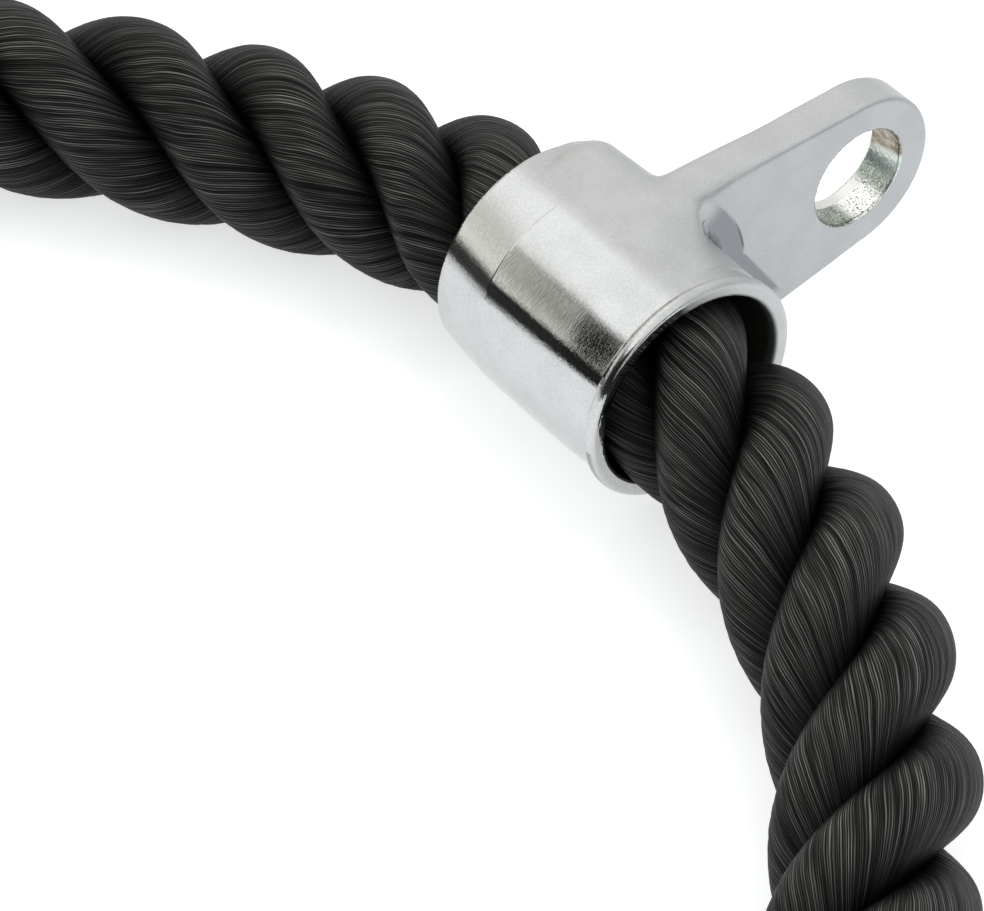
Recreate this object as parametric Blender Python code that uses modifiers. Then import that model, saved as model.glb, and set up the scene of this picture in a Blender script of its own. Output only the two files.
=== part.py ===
"""Triceps rope attachment: one laid rope run through a cast collar with an eye, and a moulded stop at each end.

Metres, +Z up. The rope lies on the floor in a horseshoe, the collar's bore runs along X and its eye points
along +Y. The origin is on the floor, in the middle of the box round the collar and the two stops.
"""

import math

import bmesh
import bpy
import numpy as np
from mathutils import Matrix, Vector

# Gap that touching pieces keep, and how far a cutter runs past what it cuts
mesh_gap = 0.0003
cut_overrun = 0.002

# Rope
rope_diameter = 0.032
rope_bevel_resolution = 4

# Collar: barrel, and how far the collar has turned on the rope, which lifts its eye
collar_turn_degrees = 6.0
bore_diameter = 0.0368
barrel_diameter = 0.042
barrel_length = 0.0443
lip_diameter = 0.0430
lip_width = 0.0026
lip_round = 0.0011
mouth_round = 0.0012
crease_from_middle = 0.0098
crease_step = 0.00025
left_rim_diameter = 0.0416
left_rim_shift = 0.0013
left_rim_round = 0.0005
barrel_segments = 72

# Collar: eye plate
eye_from_bore = 0.0529
eye_hole_diameter = 0.0194
eye_plate_half_height = 0.0160
eye_plate_thickness = 0.0079
eye_plate_round = 0.0011
eye_root_from_bore = 0.010
eye_root_half_height = 0.0210
eye_end_steps = 22
eye_hole_steps = 40

# Collar: neck between barrel and plate, and the relief turned round the barrel where it meets the plate
neck_half_height = 0.0213
neck_rise_share = 0.18
neck_length = 0.0275
neck_right_half_length = 0.0165
neck_corner_round = 0.0055
neck_sink = 0.0004
neck_corner_steps = 4
neck_smooth_steps = 2
relief_round = 0.008
relief_edge_radius = 0.0268
relief_clearance = 0.00005

# Moulded stop and what holds it on the rope
stop_diameter = 0.058
stop_heel_diameter = 0.043
stop_face_diameter = 0.044
stop_grip_length = 0.034
stop_band_length = 0.014
stop_shoulder_length = 0.013
stop_heel_round = 0.003
stop_rope_clearance = 0.0004
ferrule_length = 0.018
ferrule_wall = 0.0016
ferrule_edge = 0.0005
washer_thickness = 0.0025
washer_edge = 0.0004
screw_shank_diameter = 0.008
screw_shank_length = 0.034
screw_point_length = 0.006
screw_head_diameter = 0.015
screw_head_height = 0.0055
plug_thickness = 0.006
plug_edge = 0.0008
turned_segments = 48

# Where the rope bends at the collar: the stretch from inside the mouth to where the leg runs free
bend_start_inside_mouth = 0.008
bend_length = 0.060

# Route of each half of the rope, from the middle of the bore: X towards its side, Y from the bore's axis, Z from
# the floor
route_right = [
    (0.000, 0.0013, 0.0207),
    (0.022, -0.0012, 0.0201),
    (0.042, -0.0038, 0.0178),
    (0.063, -0.0092, 0.0165),
    (0.084, -0.0176, 0.0163),
    (0.103, -0.0292, 0.0163),
    (0.121, -0.0448, 0.0163),
    (0.139, -0.0650, 0.0163),
    (0.154, -0.0870, 0.0165),
    (0.166, -0.1110, 0.0176),
    (0.175, -0.1370, 0.0206),
    (0.181, -0.1600, 0.0244),
    (0.184, -0.1770, 0.0276),
    (0.185, -0.1900, 0.0290),
    (0.185, -0.2000, 0.0290),
    (0.185, -0.2250, 0.0290),
    (0.185, -0.2500, 0.0290),
]
route_left = [
    (0.000, 0.0013, 0.0207),
    (0.022, 0.0012, 0.0203),
    (0.042, -0.0004, 0.0188),
    (0.062, -0.0084, 0.0170),
    (0.082, -0.0192, 0.0163),
    (0.101, -0.0312, 0.0163),
    (0.120, -0.0454, 0.0163),
    (0.138, -0.0630, 0.0163),
    (0.154, -0.0850, 0.0165),
    (0.166, -0.1100, 0.0176),
    (0.175, -0.1365, 0.0206),
    (0.181, -0.1600, 0.0244),
    (0.184, -0.1770, 0.0276),
    (0.185, -0.1900, 0.0290),
    (0.185, -0.2000, 0.0290),
    (0.185, -0.2250, 0.0290),
    (0.185, -0.2500, 0.0290),
]
route_steps = 24
tube_point_spacing = 0.032
tube_face_land = 0.003

# Worked out from the sizes above
rope_radius = rope_diameter / 2
bore_radius = bore_diameter / 2
barrel_radius = barrel_diameter / 2
lip_radius = lip_diameter / 2
half_length = barrel_length / 2
bore_height = lip_radius
neck_half_length = half_length - left_rim_round / 2
collar_turn = math.radians(collar_turn_degrees)
eye_tip_from_bore = eye_from_bore * math.cos(collar_turn) + eye_plate_half_height
plate_half_thickness = eye_plate_thickness / 2
ferrule_inner_radius = rope_radius + mesh_gap
ferrule_outer_radius = ferrule_inner_radius + ferrule_wall
pocket_radius = ferrule_outer_radius + mesh_gap
rope_end_depth = stop_grip_length + mesh_gap + ferrule_length
washer_depth = rope_end_depth + mesh_gap
screw_head_depth = washer_depth + washer_thickness + mesh_gap
plug_depth = screw_head_depth + screw_head_height + mesh_gap
stop_length = plug_depth + plug_thickness
rope_end = Vector(route_right[-1])
stop_tip_y = rope_end.y - (stop_length - rope_end_depth)
bore_y = -(eye_tip_from_bore + stop_tip_y) / 2


def clear_scene():
    for obj in list(bpy.data.objects):
        bpy.data.objects.remove(obj, do_unlink=True)


def new_collection(name):
    group = bpy.data.collections.new(name)
    bpy.context.scene.collection.children.link(group)
    return group


def new_material(name, colour, roughness, metallic):
    material = bpy.data.materials.new(name)
    material.use_nodes = True
    shader = material.node_tree.nodes["Principled BSDF"]
    shader.inputs["Base Color"].default_value = (*colour, 1)
    shader.inputs["Roughness"].default_value = roughness
    shader.inputs["Metallic"].default_value = metallic
    material.diffuse_color = (*colour, 1)
    return material


def new_object(name, data, group):
    obj = bpy.data.objects.new(name, data)
    group.objects.link(obj)
    return obj


def make_guide(obj):
    obj.hide_render = True
    obj.display_type = "WIRE"


def evaluated_mesh(obj):
    depsgraph = bpy.context.evaluated_depsgraph_get()
    return bpy.data.meshes.new_from_object(obj.evaluated_get(depsgraph))


def shade(mesh):
    mesh.shade_smooth()
    mesh.set_sharp_from_angle(angle=math.radians(32))


def weld(mesh):
    """Joins a curve's loose caps to its side."""
    body = bmesh.new()
    body.from_mesh(mesh)
    bmesh.ops.remove_doubles(body, verts=body.verts, dist=mesh_gap / 100)
    bmesh.ops.recalc_face_normals(body, faces=body.faces)
    body.to_mesh(mesh)
    body.free()


def arc(centre, radius, start, end, steps):
    """Points on an arc in a plane, with both ends, angles in degrees."""
    angles = np.radians(np.linspace(start, end, steps + 1))
    return [(centre[0] + radius * math.cos(a), centre[1] + radius * math.sin(a)) for a in angles]


def turned(name, profile, group, closed, segments=turned_segments):
    """A solid of revolution about its own Z axis; the profile is (radius, height), outer side downwards."""
    mesh = bpy.data.meshes.new(name)
    count = len(profile)
    edges = [(i, i + 1) for i in range(count - 1)]
    if closed:
        edges.append((count - 1, 0))
    mesh.from_pydata([(radius, 0, height) for radius, height in profile], edges, [])
    obj = new_object(name, mesh, group)
    screw = obj.modifiers.new("turn", "SCREW")
    screw.steps = segments
    screw.render_steps = segments
    screw.use_merge_vertices = True
    screw.merge_threshold = mesh_gap / 100
    screw.use_smooth_shade = True
    return obj


def applied(obj):
    """Turns an object's modifiers into its mesh, shaded smooth with its edges kept sharp."""
    mesh = evaluated_mesh(obj)
    obj.modifiers.clear()
    obj.data = mesh
    shade(mesh)
    return obj


def add_boolean(obj, other, operation, solver="EXACT"):
    boolean = obj.modifiers.new(other.name, "BOOLEAN")
    boolean.operation = operation
    boolean.solver = solver
    boolean.object = other


def catmull_rom(points, steps):
    """Points on the smooth curve from the second point to the last but one, with both."""
    curve = []
    for p0, p1, p2, p3 in zip(points, points[1:], points[2:], points[3:]):
        for t in np.linspace(0, 1, steps, endpoint=False):
            bend = 2 * p0 - 5 * p1 + 4 * p2 - p3
            twist = 3 * p1 - p0 - 3 * p2 + p3
            curve.append((2 * p1 + (p2 - p0) * t + bend * t * t + twist * t**3) / 2)
    curve.append(points[-2])
    return curve


def ease(share):
    """Smooth step from 0 to 1."""
    share = min(max(share, 0), 1)
    return share * share * (3 - 2 * share)


# Collar, in its own frame: the bore along X, the eye along Y, the bore's middle at the origin


def barrel_profile():
    """Outer side of the barrel from the mouth's face (top) to the left rim (bottom), closed on the axis."""
    lip_back = half_length - lip_width
    left_radius = left_rim_diameter / 2
    crease_radius = barrel_radius - crease_step
    points = [(0, half_length)]
    points += arc((lip_radius - lip_round, half_length - lip_round), lip_round, 90, 0, 4)
    points += [
        (lip_radius, lip_back + lip_round),
        (barrel_radius, lip_back),
        (barrel_radius, -crease_from_middle),
        (crease_radius, -crease_from_middle - crease_step),
        (left_radius, -half_length + left_rim_round),
        (left_radius - left_rim_round, -half_length),
        (0, -half_length),
    ]
    return points


def bore_profile():
    """The bore, straight from the left rim up to its rounded mouth."""
    points = [(0, half_length + cut_overrun), (bore_radius + mouth_round, half_length + cut_overrun)]
    points += arc((bore_radius + mouth_round, half_length - mouth_round), mouth_round, 90, 180, 4)
    points += [(bore_radius, -half_length - cut_overrun), (0, -half_length - cut_overrun)]
    return points


def relief_profile():
    """A ring cut round the barrel from behind the lip to the plate's face, with a cove where they meet."""
    inner = barrel_radius - relief_clearance
    outer = eye_from_bore
    centre_radius = inner + relief_round
    rise = centre_radius - relief_edge_radius
    centre_height = plate_half_thickness + math.sqrt(relief_round**2 - rise**2)
    edge_angle = 180 + math.degrees(math.asin(rise / relief_round))
    cove = arc((centre_height, centre_radius), relief_round, edge_angle, 270, 8)
    end = half_length - lip_width + lip_round
    points = [(outer, end), (outer, plate_half_thickness - neck_sink)]
    points += [(relief_edge_radius, plate_half_thickness - neck_sink)]
    points += [(radius, height) for height, radius in cove]
    points += [(inner, end)]
    return points


def along_bore(obj):
    """Lays a turned piece's own Z axis along X."""
    obj.matrix_world = Matrix.Rotation(math.radians(90), 4, "Y")


def shift_left_rim(mesh):
    """Leans the barrel's left end towards the eye, so that its taper shows on the far side from it."""
    for vertex in mesh.vertices:
        past_crease = -crease_from_middle - vertex.co.z
        if past_crease > 0:
            vertex.co.y += left_rim_shift * past_crease / (half_length - crease_from_middle)


def plate_half_height_at(distance):
    """Half the plate's height at a distance from the bore's axis: it spreads towards the root."""
    share = (eye_from_bore - distance) / (eye_from_bore - eye_root_from_bore)
    return eye_plate_half_height + (eye_root_half_height - eye_plate_half_height) * share


def eye_plate_outline():
    """Outline in (Y, Z): a round end about the eye, and sides that spread to the root."""
    side_slope = (eye_root_half_height - eye_plate_half_height) / (eye_from_bore - eye_root_from_bore)
    lean = math.degrees(math.atan(side_slope))
    points = arc((eye_from_bore, 0), eye_plate_half_height, -90 - lean, 90 + lean, eye_end_steps)
    points += [(eye_root_from_bore, eye_root_half_height), (eye_root_from_bore, -eye_root_half_height)]
    return points


def add_spline(curve, points):
    spline = curve.splines.new("POLY")
    spline.points.add(len(points) - 1)
    for point, place in zip(spline.points, points):
        point.co = (place[0], place[1], 0, 1)
    spline.use_cyclic_u = True


def eye_plate(group):
    """The flat plate with its eye, a filled 2D curve with rounded edges, stood up across the bore."""
    curve = bpy.data.curves.new("eye_plate", "CURVE")
    curve.dimensions = "2D"
    curve.fill_mode = "BOTH"
    curve.extrude = plate_half_thickness - eye_plate_round
    curve.bevel_depth = eye_plate_round
    curve.bevel_resolution = 1
    curve.offset = -eye_plate_round
    add_spline(curve, eye_plate_outline())
    add_spline(curve, arc((eye_from_bore, 0), eye_hole_diameter / 2, 0, 360, eye_hole_steps)[:-1])
    drawn = new_object("eye_plate_curve", curve, group)
    mesh = evaluated_mesh(drawn)
    bpy.data.objects.remove(drawn, do_unlink=True)
    weld(mesh)
    plate = new_object("eye_plate", mesh, group)
    # Curve X to Y, curve Y to Z, thickness along X
    plate.matrix_world = Matrix(((0, 0, 1, 0), (1, 0, 0, 0), (0, 1, 0, 0), (0, 0, 0, 1)))
    make_guide(plate)
    return plate


# The neck's left side, as shares: of its length, of the way from the plate's face to the left rim, of its corner
# round, and of how far its top has sunk behind the plate's edge
neck_left_shares = [
    (0.00, 1.00, 0.20, 0.0),
    (0.30, 1.00, 0.25, 0.0),
    (0.42, 0.99, 0.60, 0.0),
    (0.50, 0.93, 0.90, 0.0),
    (0.56, 0.78, 1.00, 0.0),
    (0.59, 0.55, 1.00, 0.0),
    (0.62, 0.30, 1.00, 0.1),
    (0.67, 0.11, 1.00, 0.4),
    (0.73, 0.03, 1.00, 0.9),
    (0.80, 0.00, 1.00, 1.0),
    (1.00, 0.00, 1.00, 1.0),
]


def section_ring(along, out, rounding, sunk):
    """The neck's section at a share of its length: a rounded rectangle in the XZ plane."""
    inner = plate_half_thickness - neck_sink
    distance = along * neck_length
    left = inner + out * (neck_half_length - inner)
    flush = plate_half_height_at(distance) - relief_clearance
    rising = barrel_radius - neck_sink + distance * neck_rise_share
    height = min(neck_half_height, rising, flush - sunk * (eye_plate_round - neck_sink))
    left_round = min(neck_corner_round * rounding, left / 2)
    right_round = neck_corner_round
    corners = [
        (neck_right_half_length, 1, right_round, 0),
        (-left, 1, left_round, 90),
        (-left, -1, left_round, 180),
        (neck_right_half_length, -1, right_round, 270),
    ]
    ring = []
    for end, z_side, corner, start in corners:
        centre = (end - math.copysign(corner, end), z_side * (height - corner))
        ring += arc(centre, corner, start, start + 90, neck_corner_steps)
    return [(x, distance, z) for x, z in ring]


def neck(group):
    """The cast neck, lofted from the barrel out along the plate; the relief shapes its right side."""
    rows = [Vector(row) for row in neck_left_shares]
    rows = catmull_rom([rows[0], *rows, rows[-1]], neck_smooth_steps)
    body = bmesh.new()
    rings = [[body.verts.new(point) for point in section_ring(*row)] for row in rows]
    for ring, following in zip(rings, rings[1:]):
        for i in range(len(ring)):
            j = (i + 1) % len(ring)
            body.faces.new((ring[i], ring[j], following[j], following[i]))
    body.faces.new(rings[0])
    body.faces.new(rings[-1])
    bmesh.ops.recalc_face_normals(body, faces=body.faces)
    mesh = bpy.data.meshes.new("neck")
    body.to_mesh(mesh)
    body.free()
    obj = new_object("neck", mesh, group)
    make_guide(obj)
    return obj


def collar(parts, cutters, material):
    """One casting: barrel, neck and eye plate, relieved beside the plate and bored through for the rope."""
    obj = applied(turned("collar", barrel_profile(), parts, False, barrel_segments))
    shift_left_rim(obj.data)
    along_bore(obj)
    relief = turned("relief_cutter", relief_profile(), cutters, True, barrel_segments)
    bore = turned("bore_cutter", bore_profile(), cutters, False, barrel_segments)
    for cutter in (relief, bore):
        along_bore(cutter)
        make_guide(cutter)
    bpy.context.view_layer.update()
    rough_neck = neck(cutters)
    add_boolean(rough_neck, relief, "DIFFERENCE")
    # Nearly level faces of barrel, neck and plate meet here, which the exact solver leaves open
    for other, operation in ((eye_plate(cutters), "UNION"), (rough_neck, "UNION"), (bore, "DIFFERENCE")):
        add_boolean(obj, other, operation, "MANIFOLD")
    bpy.context.view_layer.update()
    applied(obj)
    weld(obj.data)
    shade(obj.data)
    turn = Matrix.Rotation(collar_turn, 4, "X")
    obj.matrix_world = Matrix.Translation((0, bore_y, bore_height)) @ turn @ obj.matrix_world
    obj.data.materials.append(material)


# Rope


def smooth_route(route, other):
    """A smooth curve through the route's points, which starts as the other half's mirror image ends."""
    points = [Vector(p) for p in route]
    before = Vector((-other[1][0], other[1][1], other[1][2]))
    after = 2 * points[-1] - points[-2]
    return np.array([tuple(p) for p in catmull_rom([before, *points, after], route_steps)])


class Route:
    """One half of the rope's centre line, read by its length from the middle of the bore."""

    def __init__(self, route, other):
        self.points = smooth_route(route, other)
        steps = np.linalg.norm(np.diff(self.points, axis=0), axis=1)
        self.lengths = np.concatenate([[0], np.cumsum(steps)])
        self.length = float(self.lengths[-1])

    def at(self, length):
        return np.array([np.interp(length, self.lengths, self.points[:, i]) for i in range(3)])

    def direction(self, length):
        reach = tube_face_land
        ahead = self.at(min(length + reach, self.length))
        behind = self.at(max(length - reach, 0))
        return (ahead - behind) / np.linalg.norm(ahead - behind)

    def length_at_x(self, x):
        return float(np.interp(x, self.points[:, 0], self.lengths))


def stretch(route, start, end):
    """Centre points of one stretch; its faces are square to the rope, with half the gap left at each."""
    land_start = route.direction(start)
    land_end = route.direction(end)
    first = route.at(start) + land_start * mesh_gap / 2
    last = route.at(end) - land_end * mesh_gap / 2
    count = max(2, math.ceil((end - start) / tube_point_spacing))
    inner = np.linspace(start, end, count + 1)[1:-1]
    points = [first, first + land_start * tube_face_land]
    points += [route.at(length) for length in inner]
    points += [last - land_end * tube_face_land, last]
    return points


def tube(name, points, group, material):
    """A plain tube along the points, from a bevelled curve made into a mesh with its caps joined."""
    curve = bpy.data.curves.new(name, "CURVE")
    curve.dimensions = "3D"
    curve.bevel_depth = rope_radius
    curve.bevel_resolution = rope_bevel_resolution
    curve.use_fill_caps = True
    spline = curve.splines.new("POLY")
    spline.points.add(len(points) - 1)
    for point, place in zip(spline.points, points):
        point.co = (*place, 1)
    drawn = new_object(name + "_curve", curve, group)
    mesh = evaluated_mesh(drawn)
    bpy.data.objects.remove(drawn, do_unlink=True)
    weld(mesh)
    shade(mesh)
    obj = new_object(name, mesh, group)
    obj.data.materials.append(material)
    return obj


def on_side(points, side):
    """Points moved from the bore's frame to the floor's, on the side asked for."""
    return [(side * x, bore_y + y, z) for x, y, z in points]


def rope(parts, cutters, material):
    """The rope in five stretches: through the collar, a bend at each mouth, and two legs."""
    routes = {-1: Route(route_left, route_right), 1: Route(route_right, route_left)}
    starts = {}
    for side, route in routes.items():
        starts[side] = route.length_at_x(half_length) - bend_start_inside_mouth
    through = on_side(stretch(routes[-1], 0, starts[-1])[2:], -1)[::-1]
    through += on_side([routes[1].at(0)], 1)
    through += on_side(stretch(routes[1], 0, starts[1])[2:], 1)
    tube("rope_in_collar", through, parts, material)
    for side, word in ((-1, "left"), (1, "right")):
        route = routes[side]
        bend_end = starts[side] + bend_length
        tube(f"rope_bend_{word}", on_side(stretch(route, starts[side], bend_end), side), parts, material)
        leg = tube(f"rope_leg_{word}", on_side(stretch(route, bend_end, route.length), side), parts, material)
        add_boolean(leg, screw_hole(cutters, side, word), "DIFFERENCE")
        applied(leg)


# Stops


def in_stop(obj, side, depth):
    """Sets a turned piece in the stop: its own Z axis points out of the rope's end, from a depth in the stop."""
    heel = Vector((side * rope_end.x, bore_y + rope_end.y + rope_end_depth, rope_end.z))
    turn = Matrix.Rotation(math.radians(90), 4, "X")
    obj.matrix_world = Matrix.Translation(heel + Vector((0, -depth, 0))) @ turn


def screw_hole(cutters, side, word):
    """The hole that the screw's shank sits in, bored into the rope's end."""
    radius = screw_shank_diameter / 2 + mesh_gap
    depth = screw_shank_length + mesh_gap
    profile = [(0, cut_overrun), (radius, cut_overrun), (radius, screw_point_length - depth), (0, -depth)]
    hole = turned(f"screw_hole_{word}", profile, cutters, False)
    in_stop(hole, side, rope_end_depth)
    make_guide(hole)
    bpy.context.view_layer.update()
    return hole


def stop_profile():
    """Section of the moulded stop, outer side from its end face down to its heel, then up the inside."""
    outer = stop_diameter / 2
    face = stop_face_diameter / 2
    heel = stop_heel_diameter / 2
    inner = rope_radius + stop_rope_clearance
    shoulder_start = stop_length - stop_shoulder_length
    band_start = shoulder_start - stop_band_length
    points = []
    for x, y in arc((0, 0), 1, 90, 0, 6):
        points.append((face + (outer - face) * x, shoulder_start + stop_shoulder_length * y))
    for share in np.linspace(0, 1, 9):
        height = band_start + (stop_heel_round - band_start) * share
        points.append((outer + (heel - outer) * ease(share), height))
    points += arc((heel - stop_heel_round, stop_heel_round), stop_heel_round, 0, -90, 3)[1:]
    points += [(inner, 0), (inner, stop_grip_length), (pocket_radius, stop_grip_length)]
    points += [(pocket_radius, stop_length)]
    return points


def ferrule_profile():
    inner = ferrule_inner_radius
    outer = ferrule_outer_radius
    return [
        (outer - ferrule_edge, ferrule_length),
        (outer, ferrule_length - ferrule_edge),
        (outer, ferrule_edge),
        (outer - ferrule_edge, 0),
        (inner, 0),
        (inner, ferrule_length),
    ]


def washer_profile():
    inner = screw_shank_diameter / 2 + mesh_gap
    outer = ferrule_outer_radius
    return [
        (outer - washer_edge, washer_thickness),
        (outer, washer_thickness - washer_edge),
        (outer, washer_edge),
        (outer - washer_edge, 0),
        (inner, 0),
        (inner, washer_thickness),
    ]


def screw_profile():
    """Pan head over a shank that ends in a point; height 0 is under the head."""
    shank = screw_shank_diameter / 2
    head = screw_head_diameter / 2
    reach = washer_thickness + 2 * mesh_gap
    tip = reach + screw_shank_length
    points = [(0, screw_head_height)]
    for x, y in arc((0, 0), 1, 60, 0, 4):
        points.append((head * (1 + x) / 2, screw_head_height * (1 + y) / 2))
    points += [(head, 0), (shank, 0), (shank, screw_point_length - tip), (0, -tip)]
    return points


def plug_profile():
    outer = pocket_radius - mesh_gap
    return [
        (0, plug_thickness),
        (outer - plug_edge, plug_thickness),
        (outer, plug_thickness - plug_edge),
        (outer, 0),
        (0, 0),
    ]


def stops(parts, rubber, steel, plastic):
    """Each end: the moulded stop, the ferrule, washer and screw that hold it, and the plug that closes it."""
    pieces = [
        ("end_stop", stop_profile(), True, 0, rubber),
        ("rope_ferrule", ferrule_profile(), True, stop_grip_length + mesh_gap, steel),
        ("retaining_washer", washer_profile(), True, washer_depth, steel),
        ("retaining_screw", screw_profile(), False, screw_head_depth, steel),
        ("end_plug", plug_profile(), False, plug_depth, plastic),
    ]
    for side, word in ((-1, "left"), (1, "right")):
        for name, profile, closed, depth, material in pieces:
            obj = turned(f"{name}_{word}", profile, parts, closed)
            in_stop(obj, side, depth)
            applied(obj)
            obj.data.materials.append(material)


def joint_axis(name, place, group):
    """An empty on a joint's axis, for the pieces that move about it."""
    axis = new_object(name, None, group)
    axis.location = place
    bpy.context.view_layer.update()
    return axis


def hang_on(axis, children):
    """Parents the children to an axis and leaves them where they are."""
    for obj in children:
        place = obj.matrix_world.copy()
        obj.parent = axis
        obj.matrix_parent_inverse = axis.matrix_world.inverted()
        obj.matrix_world = place


def joints(parts):
    """The rope turns in the bore, and each leg swings where it leaves its mouth."""
    middle = joint_axis("rope_turn_axis", (0, bore_y, bore_height), parts)
    core = [parts.objects["rope_in_collar"]]
    routes = [(-1, "left", Route(route_left, route_right)), (1, "right", Route(route_right, route_left))]
    for side, word, route in routes:
        mouth = on_side([route.at(route.length_at_x(half_length))], side)[0]
        swing = joint_axis(f"leg_{word}_axis", mouth, parts)
        names = ["rope_leg", "end_stop", "rope_ferrule", "retaining_washer", "retaining_screw", "end_plug"]
        hang_on(swing, [parts.objects[f"{name}_{word}"] for name in names])
        core += [parts.objects[f"rope_bend_{word}"], swing]
    hang_on(middle, core)


def main():
    clear_scene()
    parts = new_collection("triceps_rope_attachment")
    cutters = new_collection("cutters_and_guides")
    plated = new_material("plated_steel", (0.66, 0.67, 0.68), 0.28, 1.0)
    fibre = new_material("black_rope", (0.012, 0.012, 0.012), 0.5, 0.0)
    rubber = new_material("black_rubber", (0.02, 0.02, 0.02), 0.7, 0.0)
    steel = new_material("zinc_steel", (0.55, 0.56, 0.57), 0.35, 1.0)
    plastic = new_material("black_plastic", (0.025, 0.025, 0.025), 0.45, 0.0)
    collar(parts, cutters, plated)
    rope(parts, cutters, fibre)
    stops(parts, rubber, steel, plastic)
    joints(parts)


if __name__ == "__main__":
    main()
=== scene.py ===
"""Dresses a triceps rope attachment: thick black laid rope through a plated steel collar with a flat eye.

Metres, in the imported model's frame: the bore runs along X, the eye points along +Y, the floor is at Z 0.
"""

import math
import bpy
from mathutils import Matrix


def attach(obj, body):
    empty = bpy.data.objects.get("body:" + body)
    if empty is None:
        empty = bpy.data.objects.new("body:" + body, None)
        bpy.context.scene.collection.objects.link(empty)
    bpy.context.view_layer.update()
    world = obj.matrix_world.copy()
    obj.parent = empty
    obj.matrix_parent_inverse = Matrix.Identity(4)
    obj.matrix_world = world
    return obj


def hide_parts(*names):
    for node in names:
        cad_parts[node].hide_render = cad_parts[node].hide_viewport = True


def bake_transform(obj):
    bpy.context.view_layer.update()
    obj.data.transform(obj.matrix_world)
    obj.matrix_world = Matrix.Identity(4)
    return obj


bl_info = {
    "name": "Triceps rope attachment",
    "version": (1, 0, 0),
    "blender": (4, 5, 0),
    "location": "View3D > Sidebar > Triceps Rope",
    "description": "Laid rope, plated collar and moulded stops around the packed model, with a studio",
    "category": "Object",
}

import bpy
import numpy as np
from bpy.props import FloatProperty, FloatVectorProperty, IntProperty, PointerProperty
from bpy.types import Operator, Panel, PropertyGroup
from mathutils import Matrix, Vector

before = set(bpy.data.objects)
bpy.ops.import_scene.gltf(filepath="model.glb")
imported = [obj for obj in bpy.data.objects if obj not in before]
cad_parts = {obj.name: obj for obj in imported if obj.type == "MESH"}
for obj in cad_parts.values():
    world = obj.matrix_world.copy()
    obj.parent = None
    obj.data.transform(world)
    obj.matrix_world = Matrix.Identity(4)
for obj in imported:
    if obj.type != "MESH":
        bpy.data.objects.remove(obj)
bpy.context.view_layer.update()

# Place of the bore's middle and how far the collar has turned on the rope
BORE = Vector((0, 0.098145, 0.0215))
COLLAR_TURN = math.radians(6)

# The rope's route from the middle of the bore, as the part has it: X to its side, Y from the bore, Z up
ROUTE_RIGHT = [
    (0.000, 0.0013, 0.0207),
    (0.022, -0.0012, 0.0201),
    (0.042, -0.0038, 0.0178),
    (0.063, -0.0092, 0.0165),
    (0.084, -0.0176, 0.0163),
    (0.103, -0.0292, 0.0163),
    (0.121, -0.0448, 0.0163),
    (0.139, -0.0650, 0.0163),
    (0.154, -0.0870, 0.0165),
    (0.166, -0.1110, 0.0176),
    (0.175, -0.1370, 0.0206),
    (0.181, -0.1600, 0.0244),
    (0.184, -0.1770, 0.0276),
    (0.185, -0.1900, 0.0290),
    (0.185, -0.2000, 0.0290),
    (0.185, -0.2250, 0.0290),
    (0.185, -0.2500, 0.0290),
]
ROUTE_LEFT = [
    (0.000, 0.0013, 0.0207),
    (0.022, 0.0012, 0.0203),
    (0.042, -0.0004, 0.0188),
    (0.062, -0.0084, 0.0170),
    (0.082, -0.0192, 0.0163),
    (0.101, -0.0312, 0.0163),
    (0.120, -0.0454, 0.0163),
    (0.138, -0.0630, 0.0163),
    (0.154, -0.0850, 0.0165),
    (0.166, -0.1100, 0.0176),
    (0.175, -0.1365, 0.0206),
    (0.181, -0.1600, 0.0244),
    (0.184, -0.1770, 0.0276),
    (0.185, -0.1900, 0.0290),
    (0.185, -0.2000, 0.0290),
    (0.185, -0.2250, 0.0290),
    (0.185, -0.2500, 0.0290),
]
# Steps from one point of a route to the next
ROUTE_STEPS = 24

# How far the strands have wound, in degrees, at places along the rope from the middle of the bore
LAY_PLACES = [-0.3570, -0.1208, -0.0950, -0.0723, -0.0492, 0.0, 0.022, 0.0487, 0.0736, 0.0988, 0.1227, 0.3570]
LAY_TURNS = [-1610, -488, -369, -249.5, -130.5, 111, 200, 331, 447, 557, 666, 1747]

# How far the rope lies outside the part's route, at places along it from the middle of the bore
DRIFT_PLACES = [
    -0.300, -0.130, -0.100, -0.072, -0.045, -0.020, 0,
    0.016, 0.034, 0.058, 0.080, 0.100, 0.125, 0.145, 0.300,
]
DRIFTS = [
    -0.0009, -0.0009, 0.0003, 0.0006, -0.0005, 0, 0,
    0.0009, 0.0014, 0.0010, 0, -0.0008, -0.0017, -0.0020, 0,
]

# How full the strands are, at places along the rope from the middle of the bore
FULLNESS_PLACES = [
    -0.240, -0.170, -0.120, -0.085, -0.066, -0.045, -0.030, -0.020,
    0, 0.022, 0.035, 0.060, 0.085, 0.120, 0.300,
]
FULLNESSES = [1.0, 1.04, 1.07, 1.06, 1.055, 1.065, 1.035, 1.0, 1.0, 1.01, 1.035, 1.04, 1.015, 1.015, 1.0]


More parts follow.
